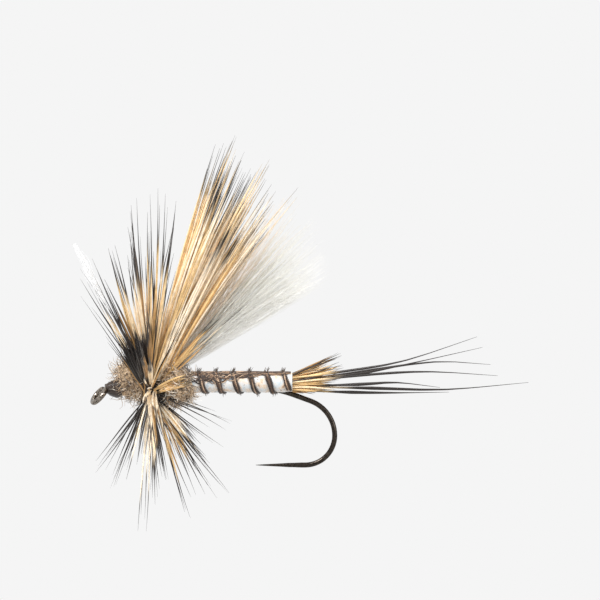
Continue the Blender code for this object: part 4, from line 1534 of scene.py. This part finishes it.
def plume(node, given):
    """A stem of down with fine loose barbs that fan out along it."""
    rng = seeded(node)
    radius = given.barb_radius / MM
    curve = lock_curve(node)
    root, tip = curve(0), curve(1)
    span = tip - root
    reach = np.linalg.norm(span)
    depth = span[1] / reach
    barbs = Guides()
    barbs.add(curve(np.linspace(0, 0.7, 12)), np.linspace(0.06, 0.015, 12), 0.9)
    low_edge = given.low_edge
    high_edge = math.atan2(span[2], span[0]) + math.radians(17)
    for _ in range(given.barb_count):
        # off is -1 at the lower edge of the fan and 1 at the upper, next to the wing
        off = 1 - 2 * rng.uniform() ** 0.8
        angle = low_edge + (high_edge - low_edge) * (off + 1) / 2
        start = reach * rng.uniform(0.03, 0.72)
        length = reach * rng.uniform(0.25, 0.5)
        edge = reach * np.interp(off, [-1, 0, 1], [0.9, 1.06, 1.09])
        length = min(length, edge * rng.uniform(0.9, 1.04) - start)
        if length < SHORTEST_BARB:
            continue
        way = np.array([math.cos(angle), depth + rng.normal(0, 0.07), math.sin(angle)])
        foot = root + way * start + rng.normal(0, 0.12, 3)
        end_angle = max(angle + rng.normal(0, 0.12) + 0.1 * off, low_edge - 0.03)
        end = np.array([math.cos(end_angle), depth + rng.normal(0, 0.15), math.sin(end_angle)])
        line = bent_line(foot, way, end, length, 9, rng, 0.012)
        girth = np.interp(np.linspace(0, 1, 9), [0, 0.5, 1], [1.0, 0.85, 0.35])
        tone = np.clip(rng.normal(0.6, 0.16) - 0.75 * max(off, 0) - 0.4 * min(off, 0), 0, 1)
        barbs.add(line, girth * radius * rng.uniform(0.8, 1.3), tone)
    return barbs


def white_wisp(given):
    """One small feather tip, pure white, that stands out of the front of the hackle."""
    rng = seeded("hackle_wisp")
    radius = given.barb_radius / MM
    foot = np.array([low_high("hackle_wraps")[0][0], -COLLAR_RADIUS, SHANK_Z + 0.4])
    span = WISP_TIP - foot
    wisp = Guides()
    wisp.add(foot + span * np.linspace(0, 1, 12)[:, None], np.linspace(0.03, 0.015, 12), 1.0)
    along, across = unit(span), unit(np.cross(span, [0, 1, 0]))
    for _ in range(given.wisp_barbs):
        start = rng.uniform(0.58, 0.86)
        length = np.linalg.norm(span) * min(rng.uniform(0.1, 0.24), 1.02 - start)
        lean = rng.normal(0, 0.24)
        leaving = along + across * lean + rng.normal(0, 0.05, 3)
        arriving = along - across * lean * 0.8
        line = bent_line(foot + span * start, leaving, arriving, length, 8, rng, 0.01)
        wisp.add(line, np.linspace(1.3, 0.4, 8) * radius, 1.0)
    return wisp


class FLY_OT_down(bpy.types.Operator):
    """Grows the two plumes of down behind the wing and the white wisp in front of the hackle"""

    bl_idname = "fly.down"
    bl_label = "Down"

    def execute(self, context):
        given = context.scene.fly_down
        # Waterfowl down: matt keratin so fine that light goes through and round it
        between = (given.grey + given.white) * 0.5
        stops = [(0.0, given.inner), (0.3, given.grey), (0.65, between), (1.0, given.white)]
        finish = toned_fibre("waterfowl_down", stops, 0.8, 0.4, 1.2, 0.9, 1.06)
        for node in ("down_plume_near", "down_plume_far"):
            settle(strands(f"{node}_barbs", plume(node, given), finish, 3), [node])
        stops = [(0.0, given.grey), (1.0, linear("#FFFFFF"))]
        snow = toned_fibre("white_down", stops, 0.8, 0.4, 1.2, 0.97, 1.03)
        settle(strands("hackle_wisp_barbs", white_wisp(given), snow, 3))
        return {"FINISHED"}


# ---- Panel and running ----

PIECES = (
    FLY_OT_stage,
    FLY_OT_hook,
    FLY_OT_thread,
    FLY_OT_thorax,
    FLY_OT_abdomen,
    FLY_OT_rib,
    FLY_OT_down,
    FLY_OT_wing,
    FLY_OT_hackle,
    FLY_OT_tail,
)


class FLY_PT_dressing(bpy.types.Panel):
    """Lists the pieces of the fly and the sizes and colours that they are made with"""

    bl_idname = "FLY_PT_dressing"
    bl_label = "Dry Fly Dressing"
    bl_space_type = "VIEW_3D"
    bl_region_type = "UI"
    bl_category = "Fly"

    def draw(self, context):
        for piece in PIECES:
            self.layout.operator(piece.bl_idname)
        for name, group in SETTINGS.items():
            box = self.layout.box()
            for key in group.__annotations__:
                box.prop(getattr(context.scene, name), key)


CLASSES = tuple(SETTINGS.values()) + PIECES + (FLY_PT_dressing,)


def register():
    for cls in CLASSES:
        bpy.utils.register_class(cls)
    for name, group in SETTINGS.items():
        setattr(bpy.types.Scene, name, PointerProperty(type=group))


def unregister():
    for name in SETTINGS:
        delattr(bpy.types.Scene, name)
    for cls in reversed(CLASSES):
        bpy.utils.unregister_class(cls)


def main():
    register()
    for piece in PIECES:
        family, action = piece.bl_idname.split(".")
        getattr(getattr(bpy.ops, family), action)()


if __name__ == "__main__":
    main()
